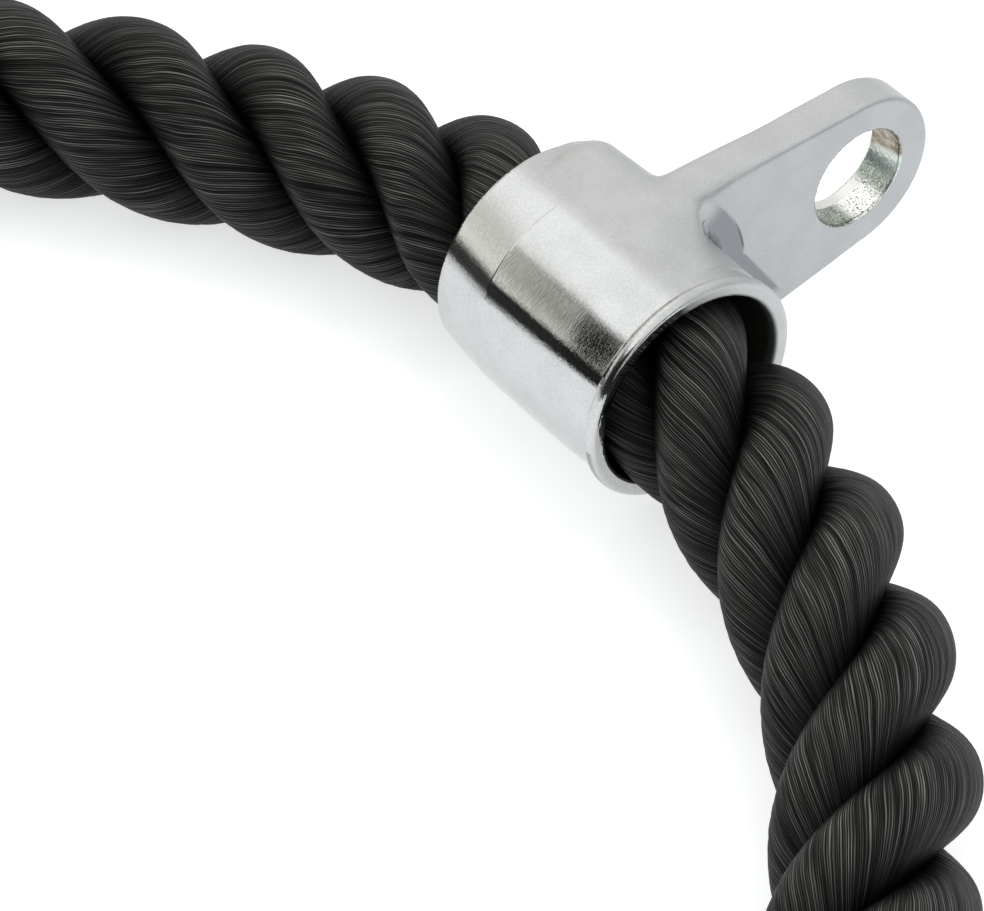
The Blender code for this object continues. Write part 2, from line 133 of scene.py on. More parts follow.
class RopeSettings(PropertyGroup):
    strand_offset: FloatProperty(
        name="Strand offset", description="Rope's axis to a strand's middle", default=0.00875, unit="LENGTH"
    )
    strand_depth: FloatProperty(
        name="Strand depth",
        description="Strand's half size away from the rope's axis",
        default=0.0076,
        unit="LENGTH",
    )
    strand_width: FloatProperty(
        name="Strand width", description="Strand's half size round the rope", default=0.0090, unit="LENGTH"
    )
    filament_twist: FloatProperty(
        name="Filament twist",
        description="1 lays the filaments on a strand's crest along the rope",
        default=1.0,
    )
    colour: FloatVectorProperty(
        name="Colour",
        description="Brightest filaments",
        default=(0.214, 0.217, 0.203),
        subtype="COLOR",
        size=3,
    )
    rings: IntProperty(name="Rings", description="Rings along each half of the rope", default=300)
    sides: IntProperty(name="Sides", description="Points round a strand", default=96)


class CollarSettings(PropertyGroup):
    voxel: FloatProperty(name="Voxel", description="Mesh size of the casting", default=0.00044, unit="LENGTH")
    colour: FloatVectorProperty(
        name="Colour",
        description="Zinc plating colour",
        default=(0.595, 0.605, 0.61),
        subtype="COLOR",
        size=3,
    )
    roughness: FloatProperty(
        name="Roughness", description="Roughness of the turned barrel", default=0.055, subtype="FACTOR"
    )
    casting_roughness: FloatProperty(
        name="Casting roughness",
        description="Roughness of the neck and the eye",
        default=0.52,
        subtype="FACTOR",
    )


class StopSettings(PropertyGroup):
    colour: FloatVectorProperty(
        name="Colour",
        description="Moulded rubber colour",
        default=(0.018, 0.018, 0.018),
        subtype="COLOR",
        size=3,
    )
    segments: IntProperty(name="Segments", description="Sides of a turned piece", default=128)


class StudioSettings(PropertyGroup):
    lens: FloatProperty(name="Lens", description="Focal length", default=164.58, unit="CAMERA")
    floor_size: FloatProperty(name="Floor", description="Side of the floor", default=14.0, unit="LENGTH")


# General helpers

# Points closer than this become one
MERGE_DISTANCE = 1e-6
# Edges of a turned piece stay sharp past this many degrees
SHARP_ANGLE = 35


def deselect():
    if bpy.context.object and bpy.context.object.mode != "OBJECT":
        bpy.ops.object.mode_set(mode="OBJECT")
    bpy.ops.object.select_all(action="DESELECT")


def only(obj):
    deselect()
    bpy.context.view_layer.objects.active = obj
    obj.select_set(True)


def mesh_object(name, verts, faces, edges=()):
    mesh = bpy.data.meshes.new(name)
    mesh.from_pydata(verts, list(edges), faces)
    mesh.update()
    obj = bpy.data.objects.new(name, mesh)
    bpy.context.scene.collection.objects.link(obj)
    return obj


def mesh_copy(name, node):
    obj = bpy.data.objects.new(name, node.data.copy())
    bpy.context.scene.collection.objects.link(obj)
    return obj


def apply_all(obj):
    only(obj)
    for modifier in list(obj.modifiers):
        bpy.ops.object.modifier_apply(modifier=modifier.name)


def finish_mesh(obj, material, angle=None):
    """Merges doubles, turns the faces outwards and shades them smooth, with edges kept past an angle."""
    only(obj)
    bpy.ops.object.mode_set(mode="EDIT")
    bpy.ops.mesh.select_all(action="SELECT")
    bpy.ops.mesh.remove_doubles(threshold=MERGE_DISTANCE)
    bpy.ops.mesh.normals_make_consistent(inside=False)
    bpy.ops.object.mode_set(mode="OBJECT")
    if angle is None:
        bpy.ops.object.shade_smooth()
    else:
        bpy.ops.object.shade_smooth_by_angle(angle=math.radians(angle))
    obj.data.materials.clear()
    obj.data.materials.append(material)


def arc(centre, radius, start, end, steps):
    angles = np.radians(np.linspace(start, end, steps + 1))
    return [(centre[0] + radius * math.cos(a), centre[1] + radius * math.sin(a)) for a in angles]


def turned(name, profile, segments, place, material, closed=True, angle=SHARP_ANGLE):
    """A solid turned about its own Z axis from a profile of (radius, height), outer side downwards."""
    count = len(profile)
    edges = [(i, i + 1) for i in range(count - 1)] + ([(count - 1, 0)] if closed else [])
    obj = mesh_object(name, [(r, 0, h) for r, h in profile], [], edges)
    screw = obj.modifiers.new("turn", "SCREW")
    screw.steps = screw.render_steps = segments
    screw.use_merge_vertices = True
    screw.merge_threshold = MERGE_DISTANCE
    apply_all(obj)
    obj.data.transform(place)
    finish_mesh(obj, material, angle)
    return obj


def smooth_step(value, low, high):
    share = np.clip((value - low) / (high - low), 0, 1)
    return share * share * (3 - 2 * share)


def falling_step(value, low, high):
    return smooth_step(-value, -high, -low)


# Shader helpers


class Nodes:
    """Short calls for building a node tree."""

    def __init__(self, tree):
        self.tree = tree

    def add(self, kind, inputs=None, **settings):
        node = self.tree.nodes.new(kind)
        for key, value in settings.items():
            setattr(node, key, value)
        for key, value in (inputs or {}).items():
            if isinstance(value, bpy.types.NodeSocket):
                self.tree.links.new(value, node.inputs[key])
            else:
                node.inputs[key].default_value = value
        return node

    def math(self, operation, a, b=0.0, c=0.0, clamp=False):
        return self.add("ShaderNodeMath", {0: a, 1: b, 2: c}, operation=operation, use_clamp=clamp).outputs[0]

    def noise(self, vector, scale, detail=2.0, roughness=0.5, dimensions="3D"):
        inputs = {"Vector": vector, "Scale": scale, "Detail": detail, "Roughness": roughness}
        return self.add("ShaderNodeTexNoise", inputs, noise_dimensions=dimensions).outputs["Fac"]

    def stretch(self, vector, scale):
        return self.add("ShaderNodeMapping", {"Vector": vector, "Scale": scale}).outputs[0]

    def fade(self, value, low, high, to_low=0.0, to_high=1.0):
        inputs = {"Value": value, "From Min": low, "From Max": high, "To Min": to_low, "To Max": to_high}
        return self.add("ShaderNodeMapRange", inputs, interpolation_type="SMOOTHSTEP").outputs[0]

    def flat(self, a, b):
        return self.add("ShaderNodeCombineXYZ", {0: a, 1: b}).outputs[0]

    def length(self, vector):
        return self.add("ShaderNodeVectorMath", {0: vector}, operation="LENGTH").outputs["Value"]

    def along(self, vector, direction):
        node = self.add("ShaderNodeVectorMath", {0: vector, 1: direction}, operation="DOT_PRODUCT")
        return node.outputs["Value"]

    def off(self, value, place):
        return self.math("ABSOLUTE", self.math("SUBTRACT", value, place))

    def zone(self, *fades):
        """How far a point is inside all of several fades, as one share."""
        total = None
        for value, fade in fades:
            share = self.fade(value, *fade)
            total = share if total is None else self.math("MULTIPLY", total, share)
        return total

    def between(self, share, a, b):
        return self.add("ShaderNodeMix", {0: share, 2: a, 3: b}).outputs[0]

    def lines(self, across, per_metre):
        """Parallel lines: each one's own brightness, and how far a point is from its edge in line widths."""
        cells = {"W": across, "Scale": per_metre, "Randomness": 0.8}
        own = self.add("ShaderNodeTexVoronoi", cells, voronoi_dimensions="1D").outputs["Color"]
        edge = self.add("ShaderNodeTexVoronoi", cells, voronoi_dimensions="1D", feature="DISTANCE_TO_EDGE")
        return self.add("ShaderNodeSeparateColor", {0: own}).outputs[0], edge.outputs["Distance"]

    def mix(self, factor, a, b, blend="MIX"):
        # A colour mix has its factor in socket 0 and its two colours in sockets 6 and 7
        node = self.add("ShaderNodeMix", data_type="RGBA", blend_type=blend)
        for key, value in ((0, factor), (6, a), (7, b)):
            if isinstance(value, bpy.types.NodeSocket):
                self.tree.links.new(value, node.inputs[key])
            else:
                node.inputs[key].default_value = value if key == 0 else (*value[:3], 1)
        return node.outputs[2]


def new_material(name):
    material = bpy.data.materials.new(name)
    material.use_nodes = True
    tree = material.node_tree
    shader = tree.nodes["Principled BSDF"]
    return material, Nodes(tree), shader


def dimmed(colour, share):
    return tuple(c * share for c in colour)


BLACK = (0, 0, 0)

# A noise read as dark patches: full below the first level and gone above the second
PATCHES = (0.38, 0.62, 1.0, 0.0)


def grain_group():
    """Fine speckle and broad clouds, the effect that every solid piece's material shares."""
    tree = bpy.data.node_groups.new("fine_grain", "ShaderNodeTree")
    inputs = (
        ("Vector", "NodeSocketVector"),
        ("Color", "NodeSocketColor"),
        ("Cloud Shade", "NodeSocketFloat"),
        ("Cloud Scale", "NodeSocketFloat"),
        ("Roughness", "NodeSocketFloat"),
        ("Roughness Spread", "NodeSocketFloat"),
        ("Speckle Scale", "NodeSocketFloat"),
        ("Speckle Shade", "NodeSocketFloat"),
    )
    outputs = (("Color", "NodeSocketColor"), ("Roughness", "NodeSocketFloat"), ("Height", "NodeSocketFloat"))
    for name, kind in inputs:
        tree.interface.new_socket(name, in_out="INPUT", socket_type=kind)
    for name, kind in outputs:
        tree.interface.new_socket(name, in_out="OUTPUT", socket_type=kind)
    n = Nodes(tree)
    given = n.add("NodeGroupInput").outputs
    speckle = n.noise(given["Vector"], given["Speckle Scale"], detail=3.0, roughness=0.6)
    cloud = n.noise(given["Vector"], given["Cloud Scale"], detail=3.0, roughness=0.55)
    shade = n.math("MULTIPLY", n.fade(cloud, *PATCHES), given["Cloud Shade"])
    dots = n.math("MULTIPLY", n.fade(speckle, *PATCHES), given["Speckle Shade"])
    shade = n.math("ADD", shade, dots)
    spread = n.math("MULTIPLY", n.math("SUBTRACT", speckle, 0.5), given["Roughness Spread"])
    n.add("NodeGroupOutput", {
        "Color": n.mix(shade, given["Color"], BLACK),
        "Roughness": n.math("ADD", given["Roughness"], spread),
        "Height": speckle,
    })
    return tree


def grain(n, place, colour, **values):
    """The shared grain, placed in a material with its own values."""
    inputs = {key.replace("_", " ").title(): value for key, value in values.items()}
    inputs.update({"Vector": place, "Color": (*colour, 1)})
    group = bpy.data.node_groups.get("fine_grain") or grain_group()
    return n.add("ShaderNodeGroup", inputs, node_tree=group).outputs


# Rope finish, in metres: how the filaments sway and cross, and waves per metre across and along them
FILAMENTS_PER_METRE = 2600.0
SWAY_SCALE = 70.0
SWAY = 0.0012
CROSSING = math.radians(2.5)
FINE_WAVES = (5600, 75, 1)
CROSSED_WAVES = (3300, 42, 1)
BUNDLE_WAVES = (1000, 10, 1)
BUNDLE_GAP_LEVEL = 0.47

# Fades of the rope finish and of its painted shade, each from and to, and the values there
FILAMENT_EDGE = (0.10, 0.42)
OWN_SHADE = (0.0, 1.0, 0.62, 1.0)
FINE_SHADE = (0.36, 0.66, 0.30, 1.0)
CROSSED_SHADE = (0.34, 0.60, 0.50, 1.0)
BUNDLE_GAP = (0.0, 0.075, 0.97, 0.0)
# Painted shade on each strand's flanks, which leaves a painted sheen along its crest
PAINTED_FLANK_SHADE = (-0.2, 1.0, 0.55, 0.0)
# Painted shade where the rope's surface turns away from the view
PAINTED_GRAZING_SHADE = (0.40, 0.92, 0.0, 0.85)
# Painted black shade in the grooves between the strands
PAINTED_GROOVE_SHADE = (-0.75, 0.10, 0.96, 0.0)
FILAMENT_ROUGHNESS = (0.3, 0.7, 0.60, 0.38)

# Brightness between filaments and between bundles, as shares of the brightest, and the heights of both
FILAMENT_GAP_SHARE = 0.015
BUNDLE_GAP_SHARE = 0.01
FILAMENT_HEIGHT = 0.6


def rope_material(settings):
    """Straight black filaments: fine light and dark lines, darker gaps between bundles, and painted shade:
    black in the grooves, darker on the flanks and where the surface turns away, so that each crest keeps a
    painted sheen.
    """
    material, n, shader = new_material("black_filament_rope")
    uv = n.add("ShaderNodeUVMap", uv_map="filaments").outputs[0]
    place = n.add("ShaderNodeTexCoord").outputs["Object"]
    wander = n.math("SUBTRACT", n.noise(place, SWAY_SCALE), 0.5)
    sway = n.flat(n.math("MULTIPLY", wander, SWAY), 0.0)
    # X runs across the filaments and Y along them
    bent = n.add("ShaderNodeVectorMath", {0: uv, 1: sway}, operation="ADD").outputs[0]
    crossed = n.add("ShaderNodeVectorRotate", {"Vector": bent, "Angle": CROSSING}).outputs[0]
    fine = n.noise(n.stretch(bent, FINE_WAVES), 1.0, detail=0.0, dimensions="2D")
    over = n.noise(n.stretch(crossed, CROSSED_WAVES), 1.0, detail=0.0, dimensions="2D")
    coarse = n.noise(n.stretch(bent, BUNDLE_WAVES), 1.0, detail=1.0, dimensions="2D")
    own, edge = n.lines(n.add("ShaderNodeSeparateXYZ", {0: bent}).outputs[0], FILAMENTS_PER_METRE)
    tone = n.zone((edge, FILAMENT_EDGE), (own, OWN_SHADE), (fine, FINE_SHADE), (over, CROSSED_SHADE))
    gap = n.fade(n.off(coarse, BUNDLE_GAP_LEVEL), *BUNDLE_GAP)
    crest = n.add("ShaderNodeAttribute", attribute_name="crest").outputs["Fac"]
    facing = n.add("ShaderNodeLayerWeight", {"Blend": 0.5}).outputs["Facing"]
    colour = n.mix(tone, dimmed(settings.colour, FILAMENT_GAP_SHARE), settings.colour)
    # Painted shade on the flanks, leaving a painted sheen on each crest
    colour = n.mix(n.fade(crest, *PAINTED_FLANK_SHADE), colour, BLACK)
    # Painted shade where the surface turns away from the view
    colour = n.mix(n.fade(facing, *PAINTED_GRAZING_SHADE), colour, BLACK)
    colour = n.mix(gap, colour, dimmed(settings.colour, BUNDLE_GAP_SHARE))
    # Painted black shade in the grooves between the strands
    colour = n.mix(n.fade(crest, *PAINTED_GROOVE_SHADE), colour, BLACK)
    n.tree.links.new(colour, shader.inputs["Base Color"])
    n.tree.links.new(n.fade(fine, *FILAMENT_ROUGHNESS), shader.inputs["Roughness"])
    height = n.math("MULTIPLY", gap, -FILAMENT_HEIGHT)
    height = n.math("ADD", height, n.math("MULTIPLY", tone, FILAMENT_HEIGHT))
    bump = n.add("ShaderNodeBump", {"Height": height, "Strength": 0.7, "Distance": 0.0002})
    n.tree.links.new(bump.outputs[0], shader.inputs["Normal"])
    shader.inputs["Specular IOR Level"].default_value = 0.08
    return material


# Zones of the collar's finish and of the shade, reflections and highlight painted on it, in its own frame,
# each from and to, and the shares there.
# Distances are in metres. Angles are in radians, from the eye's side round the bore or round the eye.
BARREL_BY_RADIUS = (0.0212, 0.0219, 1.0, 0.0)
BARREL_BY_Y = (-0.0030, 0.0018, 1.0, 0.0)
LEFT_BY_X = (-0.0100, -0.0096, 1.0, 0.0)
EYE_WALL = (0.0099, 0.0102, 1.0, 0.0)
COVE_BY_RADIUS = (0.0212, 0.0216)
COVE_BY_X = (0.0028, 0.0032)
COVE_BY_ANGLE = (0.48, 0.72, 1.0, 0.0)
COVE_BY_Z = (-0.016, -0.012)
RECESS_EDGE = (-0.0004, 0.0002, 1.0, 0.0)
FACE_BY_X = (0.0035, 0.0039)
FACE_BY_RADIUS = (0.0250, 0.0270)
RIM_BY_RADIUS = (0.0001, 0.00035, 0.8, 0.0)
RIM_TOP = (0.15, 0.45, 1.0, 0.0)
RIM_FOOT = (0.0, 0.10)
RIM_BY_X = (0.0030, 0.0034)
BORE_BY_RADIUS = (0.0186, 0.0192, 1.0, 0.0)
BORE_BY_X = (0.0195, 0.0212, 1.0, 0.0)
MOUTH_BY_RADIUS = (0.0188, 0.0193, 1.0, 0.0)
MOUTH_BY_X = (0.0210, 0.0216)
MOUTH_BY_ANGLE = (0.8, 1.1)
MOUTH_SPECKS = (0.50, 0.56, 0.0, 0.8)
CREASE_BY_X = (0.0, 0.00018, -1.0, 0.0)

# Below Z 0 the recess's painted shade ends at a straight edge: the direction square to it, and how far out it
# lies
RECESS_SQUARE = (0, 0.892, 0.453)
RECESS_LINE = 0.02413
RECESS_ABOVE = (-0.0002, 0.0002, 0.0, 0.1)

# Colours and roughnesses of the zones
# Painted shade and a painted reflection of the black rope inside the bore
BORE_PAINTED_SHADE = (0.20, 0.185, 0.17)
# Painted shade: the eye plate's right face is darker and cooler than the rest of the plating
FACE_SHADE_TINT = (0.86, 0.87, 0.89)
# Painted shade in the cove beside the plate and on the plate's face below it
COVE_PAINTED_SHADE = (0.22, 0.23, 0.25)
# Painted shadow: a dark brown line along the recess's round edge
RIM_SHADOW_COLOUR = (0.09, 0.075, 0.06)
MOUTH_SPECK_COLOUR = (0.10, 0.10, 0.10)
LEFT_DULLNESS = 0.08
COVE_ROUGHNESS = 0.28
EYE_ROUGHNESS = 0.27

# Waves per metre along the bore and per radian round it, specks per metre, and their heights in the bump
LATHE_WAVES = (4200, 14)
STREAK_WAVES = (350, 5)
SPECK_SCALE = 3600.0
PIT_SCALE = 1500.0
CAST_GRAIN_HEIGHT = 0.55
CAST_PIT_HEIGHT = (0.0, 1.0, 0.4, 1.8)
LATHE_HEIGHT = 0.45
BARREL_PIT_HEIGHT = 0.25

# The eye's wall by the angle round it: a painted tan reflection in streaks above, then grey, then a painted
# highlight with dark pits, then a painted dark reflection
TAN_REFLECTION = (-0.32, -0.14)
TAN_REFLECTION_SLANT = -25.0
PITTED_HIGHLIGHT = (-0.98, -0.88, 1.0, 0.0)
DARK_REFLECTION = (-1.80, -1.60, 1.0, 0.0)
LEDGE_BY_X = (-0.0016, -0.0014, 1.0, 0.0)
LEDGE_BY_ANGLE = (-1.0, -0.9, 1.0, 0.0)
LEDGE_COLOUR = (0.70, 0.71, 0.70)

# The eye's wall: where a noise goes from one colour to the other, and both colours
TAN_REFLECTION_COLOURS = ((0.40, 0.62), (0.42, 0.36, 0.30), (0.20, 0.17, 0.14))
GREY_COLOURS = ((0.35, 0.65), (0.60, 0.68, 0.64), (0.85, 0.92, 0.88))
PITTED_HIGHLIGHT_COLOURS = ((0.58, 0.62), (0.88, 0.90, 0.87), (0.12, 0.14, 0.12))
DARK_REFLECTION_COLOURS = ((0.44, 0.58), (0.16, 0.19, 0.16), (0.48, 0.52, 0.46))


def steel_material(settings):
    """Zinc plating over a casting: bright where the barrel was turned, duller on the neck and the eye. It
    also has painted shade in the bore, on the plate's right face, in the cove and along the recess's edge,
    and painted reflections and a highlight on the eye's wall.
    """
    material, n, shader = new_material("zinc_plated_casting")
    place = n.add("ShaderNodeTexCoord").outputs["Object"]
    back = Matrix.Rotation(-COLLAR_TURN, 4, "X")
    mapping = {"Vector": place, "Location": tuple(-(back @ BORE)), "Rotation": (-COLLAR_TURN, 0, 0)}
    local = n.add("ShaderNodeMapping", mapping).outputs[0]
    x, y, z = n.add("ShaderNodeSeparateXYZ", {0: local}).outputs
    radius = n.length(n.flat(y, z))
    turning = n.math("ARCTAN2", z, y)
    barrel = n.zone((radius, BARREL_BY_RADIUS), (y, BARREL_BY_Y))
    eye = n.fade(n.length(n.flat(n.math("SUBTRACT", y, EYE_PLACE), z)), *EYE_WALL)
    # The cove beside the plate is smoother than the casting and darkened with painted shade, as far as the
    # recess's round or straight edge
    level = n.math("ADD", n.along(local, RECESS_SQUARE), n.fade(z, *RECESS_ABOVE))
    past = n.math("SUBTRACT", radius, RECESS_RADIUS)
    past = n.math("MINIMUM", past, n.math("SUBTRACT", level, RECESS_LINE))
    cove = n.zone((radius, COVE_BY_RADIUS), (x, COVE_BY_X), (turning, COVE_BY_ANGLE))
    cove = n.math("MULTIPLY", cove, n.zone((past, RECESS_EDGE), (z, COVE_BY_Z)))
    face = n.zone((x, FACE_BY_X), (radius, FACE_BY_RADIUS))
    # Painted shadow along the recess's round edge
    rim_shadow = n.zone((n.off(radius, RECESS_RADIUS), RIM_BY_RADIUS), (turning, RIM_TOP), (turning, RIM_FOOT))
    rim_shadow = n.math("MULTIPLY", rim_shadow, n.fade(x, *RIM_BY_X))
    bore = n.zone((radius, BORE_BY_RADIUS), (n.math("ABSOLUTE", x), BORE_BY_X))
    specks = n.noise(local, SPECK_SCALE, detail=1.0)
    mouth = n.zone((radius, MOUTH_BY_RADIUS), (x, MOUTH_BY_X), (specks, MOUTH_SPECKS))
    mouth = n.math("MULTIPLY", mouth, n.fade(turning, *MOUTH_BY_ANGLE))
    skin = grain(
        n,
        local,
        settings.colour,
        cloud_shade=0.05,
        cloud_scale=150.0,
        roughness=settings.casting_roughness,
        roughness_spread=0.10,
        speckle_scale=2500.0,
        speckle_shade=0.085,
    )
    # Painted shade inside the bore
    colour = n.mix(bore, skin["Color"], BORE_PAINTED_SHADE)
    # Painted shade on the plate's right face
    colour = n.mix(face, colour, FACE_SHADE_TINT, "MULTIPLY")
    # Painted shade in the cove
    colour = n.mix(cove, colour, COVE_PAINTED_SHADE)
    colour = n.mix(rim_shadow, colour, RIM_SHADOW_COLOUR)
    colour = n.mix(mouth, colour, MOUTH_SPECK_COLOUR)
    colour = n.mix(eye, colour, eye_colour(n, x, y, z, specks))
    n.tree.links.new(colour, shader.inputs["Base Color"])
    smooth = n.math("ADD", n.math("MULTIPLY", n.fade(x, *LEFT_BY_X), LEFT_DULLNESS), settings.roughness)
    rough = n.between(barrel, skin["Roughness"], smooth)
    rough = n.between(cove, rough, COVE_ROUGHNESS)
    rough = n.between(eye, rough, EYE_ROUGHNESS)
    n.tree.links.new(rough, shader.inputs["Roughness"])
    along_bore, round_bore = LATHE_WAVES
    strokes = n.flat(n.math("MULTIPLY", x, along_bore), n.math("MULTIPLY", turning, round_bore))
    lathe = n.noise(strokes, 1.0, detail=3.0, roughness=0.7, dimensions="2D")
    pits = n.noise(local, PIT_SCALE)
    crease = n.fade(n.off(x, CREASE_PLACE), *CREASE_BY_X)
    cast_pits = n.math("MULTIPLY", pits, n.fade(eye, *CAST_PIT_HEIGHT))
    cast = n.math("ADD", n.math("MULTIPLY", skin["Height"], CAST_GRAIN_HEIGHT), cast_pits)
    brushed = n.math("MULTIPLY", lathe, LATHE_HEIGHT)
    brushed = n.math("ADD", brushed, n.math("MULTIPLY", pits, BARREL_PIT_HEIGHT))
    height = n.between(barrel, cast, n.math("ADD", brushed, crease))
    bump = n.add("ShaderNodeBump", {"Height": height, "Strength": 0.45, "Distance": 0.00008})
    n.tree.links.new(bump.outputs[0], shader.inputs["Normal"])
    shader.inputs["Metallic"].default_value = 1.0
    return material


def eye_colour(n, x, y, z, specks):
    """The cast eye's wall by the angle round it, with painted reflections and a painted highlight, and the
    pale ledge behind its grey part.
    """

    def patchy(noise, colours):
        levels, low, high = colours
        return n.mix(n.fade(noise, *levels), low, high)

    turning = n.math("ARCTAN2", z, n.math("SUBTRACT", y, EYE_PLACE))
    slant = n.math("ADD", turning, n.math("MULTIPLY", x, TAN_REFLECTION_SLANT))
    along_eye, round_eye = STREAK_WAVES
    streaks = n.flat(n.math("MULTIPLY", x, along_eye), n.math("MULTIPLY", turning, round_eye))
    streaks = n.noise(streaks, 1.0, detail=3.0, roughness=0.6, dimensions="2D")
    # A painted tan reflection in streaks above, grey below it
    colour = n.mix(n.fade(slant, *TAN_REFLECTION), patchy(specks, GREY_COLOURS), patchy(streaks, TAN_REFLECTION_COLOURS))
    # A painted highlight with dark pits
    colour = n.mix(n.fade(turning, *PITTED_HIGHLIGHT), colour, patchy(specks, PITTED_HIGHLIGHT_COLOURS))
    # A painted dark reflection furthest round
    colour = n.mix(n.fade(turning, *DARK_REFLECTION), colour, patchy(specks, DARK_REFLECTION_COLOURS))
    return n.mix(n.zone((x, LEDGE_BY_X), (turning, LEDGE_BY_ANGLE)), colour, LEDGE_COLOUR)


def plain_material(name, colour, roughness, metallic=0.0):
    material, n, shader = new_material(name)
    place = n.add("ShaderNodeTexCoord").outputs["Object"]
    skin = grain(
        n,
        place,
        colour,
        cloud_shade=0.12,
        cloud_scale=60.0,
        roughness=roughness,
        roughness_spread=0.15,
        speckle_scale=1400.0,
        speckle_shade=0.08,
    )
    n.tree.links.new(skin["Color"], shader.inputs["Base Color"])
    n.tree.links.new(skin["Roughness"], shader.inputs["Roughness"])
    bump = n.add("ShaderNodeBump", {"Height": skin["Height"], "Strength": 0.4, "Distance": 0.00006})
    n.tree.links.new(bump.outputs[0], shader.inputs["Normal"])
    shader.inputs["Metallic"].default_value = metallic
    return material


# Rope

# Sizes of a made-up variation's waves, as shares of its scale
WAVE_SHARES = (0.6, 1.7)
# Bundles of filaments: their height, how many layers are added up, and how many each has round a strand
BUNDLE_HEIGHT = 0.00006
BUNDLE_LAYERS = 12
BUNDLE_COUNTS = (14, 34)
# Each wave's strength and drift along the rope: its middle, spread and scale, and how many sines it has
BUNDLE_STRENGTH = (0.55, 0.45, 0.030, 3)
BUNDLE_DRIFT = (1.5, 0.050, 2)
# How far to each side a table is read and averaged, and at how many places
READ_REACH = 0.008
READ_PLACES = 9
# The strands shrink where the ferrule holds them: how far from the end, over what length, by what share
HELD_LENGTH = 0.056
HELD_RUN = 0.006
HELD_SHRINK = 0.03
# Strands swell and thin a little along the rope: by what share, over what length
SWELL = 0.010
SWELL_SCALE = 0.045
# Seeds of the strands' swelling and of their bundles
SWELL_SEED = 40
BUNDLE_SEED = 7
SEED_RANGE = 1000
FLOOR_CLEARANCE = 0.0001
# Each strand's filaments are read from another place of the pattern
PATTERN_SHIFT = (0.07, 0.9)


def smooth_route(route, other):
    """A smooth curve through the route's points, which starts as the other half's mirror image ends."""
    points = [Vector(p) for p in route]
    before = Vector((-other[1][0], other[1][1], other[1][2]))
    points = [before, *points, 2 * points[-1] - points[-2]]
    # A Catmull-Rom curve through each four points
    curve = []
    for p0, p1, p2, p3 in zip(points, points[1:], points[2:], points[3:]):
        for t in np.linspace(0, 1, ROUTE_STEPS, endpoint=False):
            bend = 2 * p0 - 5 * p1 + 4 * p2 - p3
            twist = 3 * p1 - p0 - 3 * p2 + p3
            curve.append((2 * p1 + (p2 - p0) * t + bend * t * t + twist * t**3) / 2)
    curve.append(points[-2])
    return np.array([tuple(p) for p in curve])


class RopeLine:
    """The whole rope's centre line from the left end to the right, with a frame that doesn't twist."""

    def __init__(self):
        right = smooth_route(ROUTE_RIGHT, ROUTE_LEFT)
        left = smooth_route(ROUTE_LEFT, ROUTE_RIGHT) * np.array([-1, 1, 1])
        self.points = np.concatenate([left[::-1][:-1], right]) + np.array([0, BORE.y, 0])
        steps = np.linalg.norm(np.diff(self.points, axis=0), axis=1)
        self.lengths = np.concatenate([[0], np.cumsum(steps)])
        middle = len(left) - 1
        self.lengths -= self.lengths[middle]
        along = np.gradient(self.points, axis=0)
        self.along = along / np.linalg.norm(along, axis=1)[:, None]
        self.side = np.zeros_like(self.points)
        self.side[middle] = (0, 1, 0)
        for order, step in ((range(middle, len(self.points)), -1), (range(middle, -1, -1), 1)):
            for i in order:
                before = self.side[i] if i == middle else self.side[i + step]
                turned_side = before - self.along[i] * float(before @ self.along[i])
                self.side[i] = turned_side / np.linalg.norm(turned_side)
        self.up = np.cross(self.along, self.side)

    def read(self, values, length):
        return np.stack([np.interp(length, self.lengths, values[:, i]) for i in range(3)], axis=-1)

    def end(self, side):
        return float(self.lengths[-1] if side > 0 else self.lengths[0])


def waves(value, seed, scale, count=5):
    """A smooth made-up variation between about -1 and 1."""
    rng = np.random.default_rng(seed)
    sizes = scale * rng.uniform(*WAVE_SHARES, count)
    starts = rng.uniform(0, 2 * math.pi, count)
    return sum(np.sin(2 * math.pi * value / size + start) for size, start in zip(sizes, starts)) / count


def bundles(columns, lengths, seed):
    """Filaments that stand proud in loose bundles: across by column, drifting slowly along the rope."""
    rng = np.random.default_rng(seed)
    total = np.zeros((len(lengths), len(columns)))
    middle, spread, strength_scale, strength_count = BUNDLE_STRENGTH
    drift, drift_scale, drift_count = BUNDLE_DRIFT
    for lumps in rng.integers(*BUNDLE_COUNTS, BUNDLE_LAYERS):
        strength = waves(lengths, int(rng.integers(SEED_RANGE)), strength_scale, strength_count)
        start = rng.uniform(0, 2 * math.pi)
        start = start + drift * waves(lengths, int(rng.integers(SEED_RANGE)), drift_scale, drift_count)
        total += (middle + spread * strength)[:, None] * np.sin(lumps * columns[None, :] + start[:, None])
    return BUNDLE_HEIGHT * total / math.sqrt(BUNDLE_LAYERS)


def smooth_read(lengths, places, values):
    """Reads a short table smoothly, without corners at its places."""
    spread = np.linspace(-READ_REACH, READ_REACH, READ_PLACES)
    return np.mean([np.interp(lengths + step, places, values) for step in spread], axis=0)


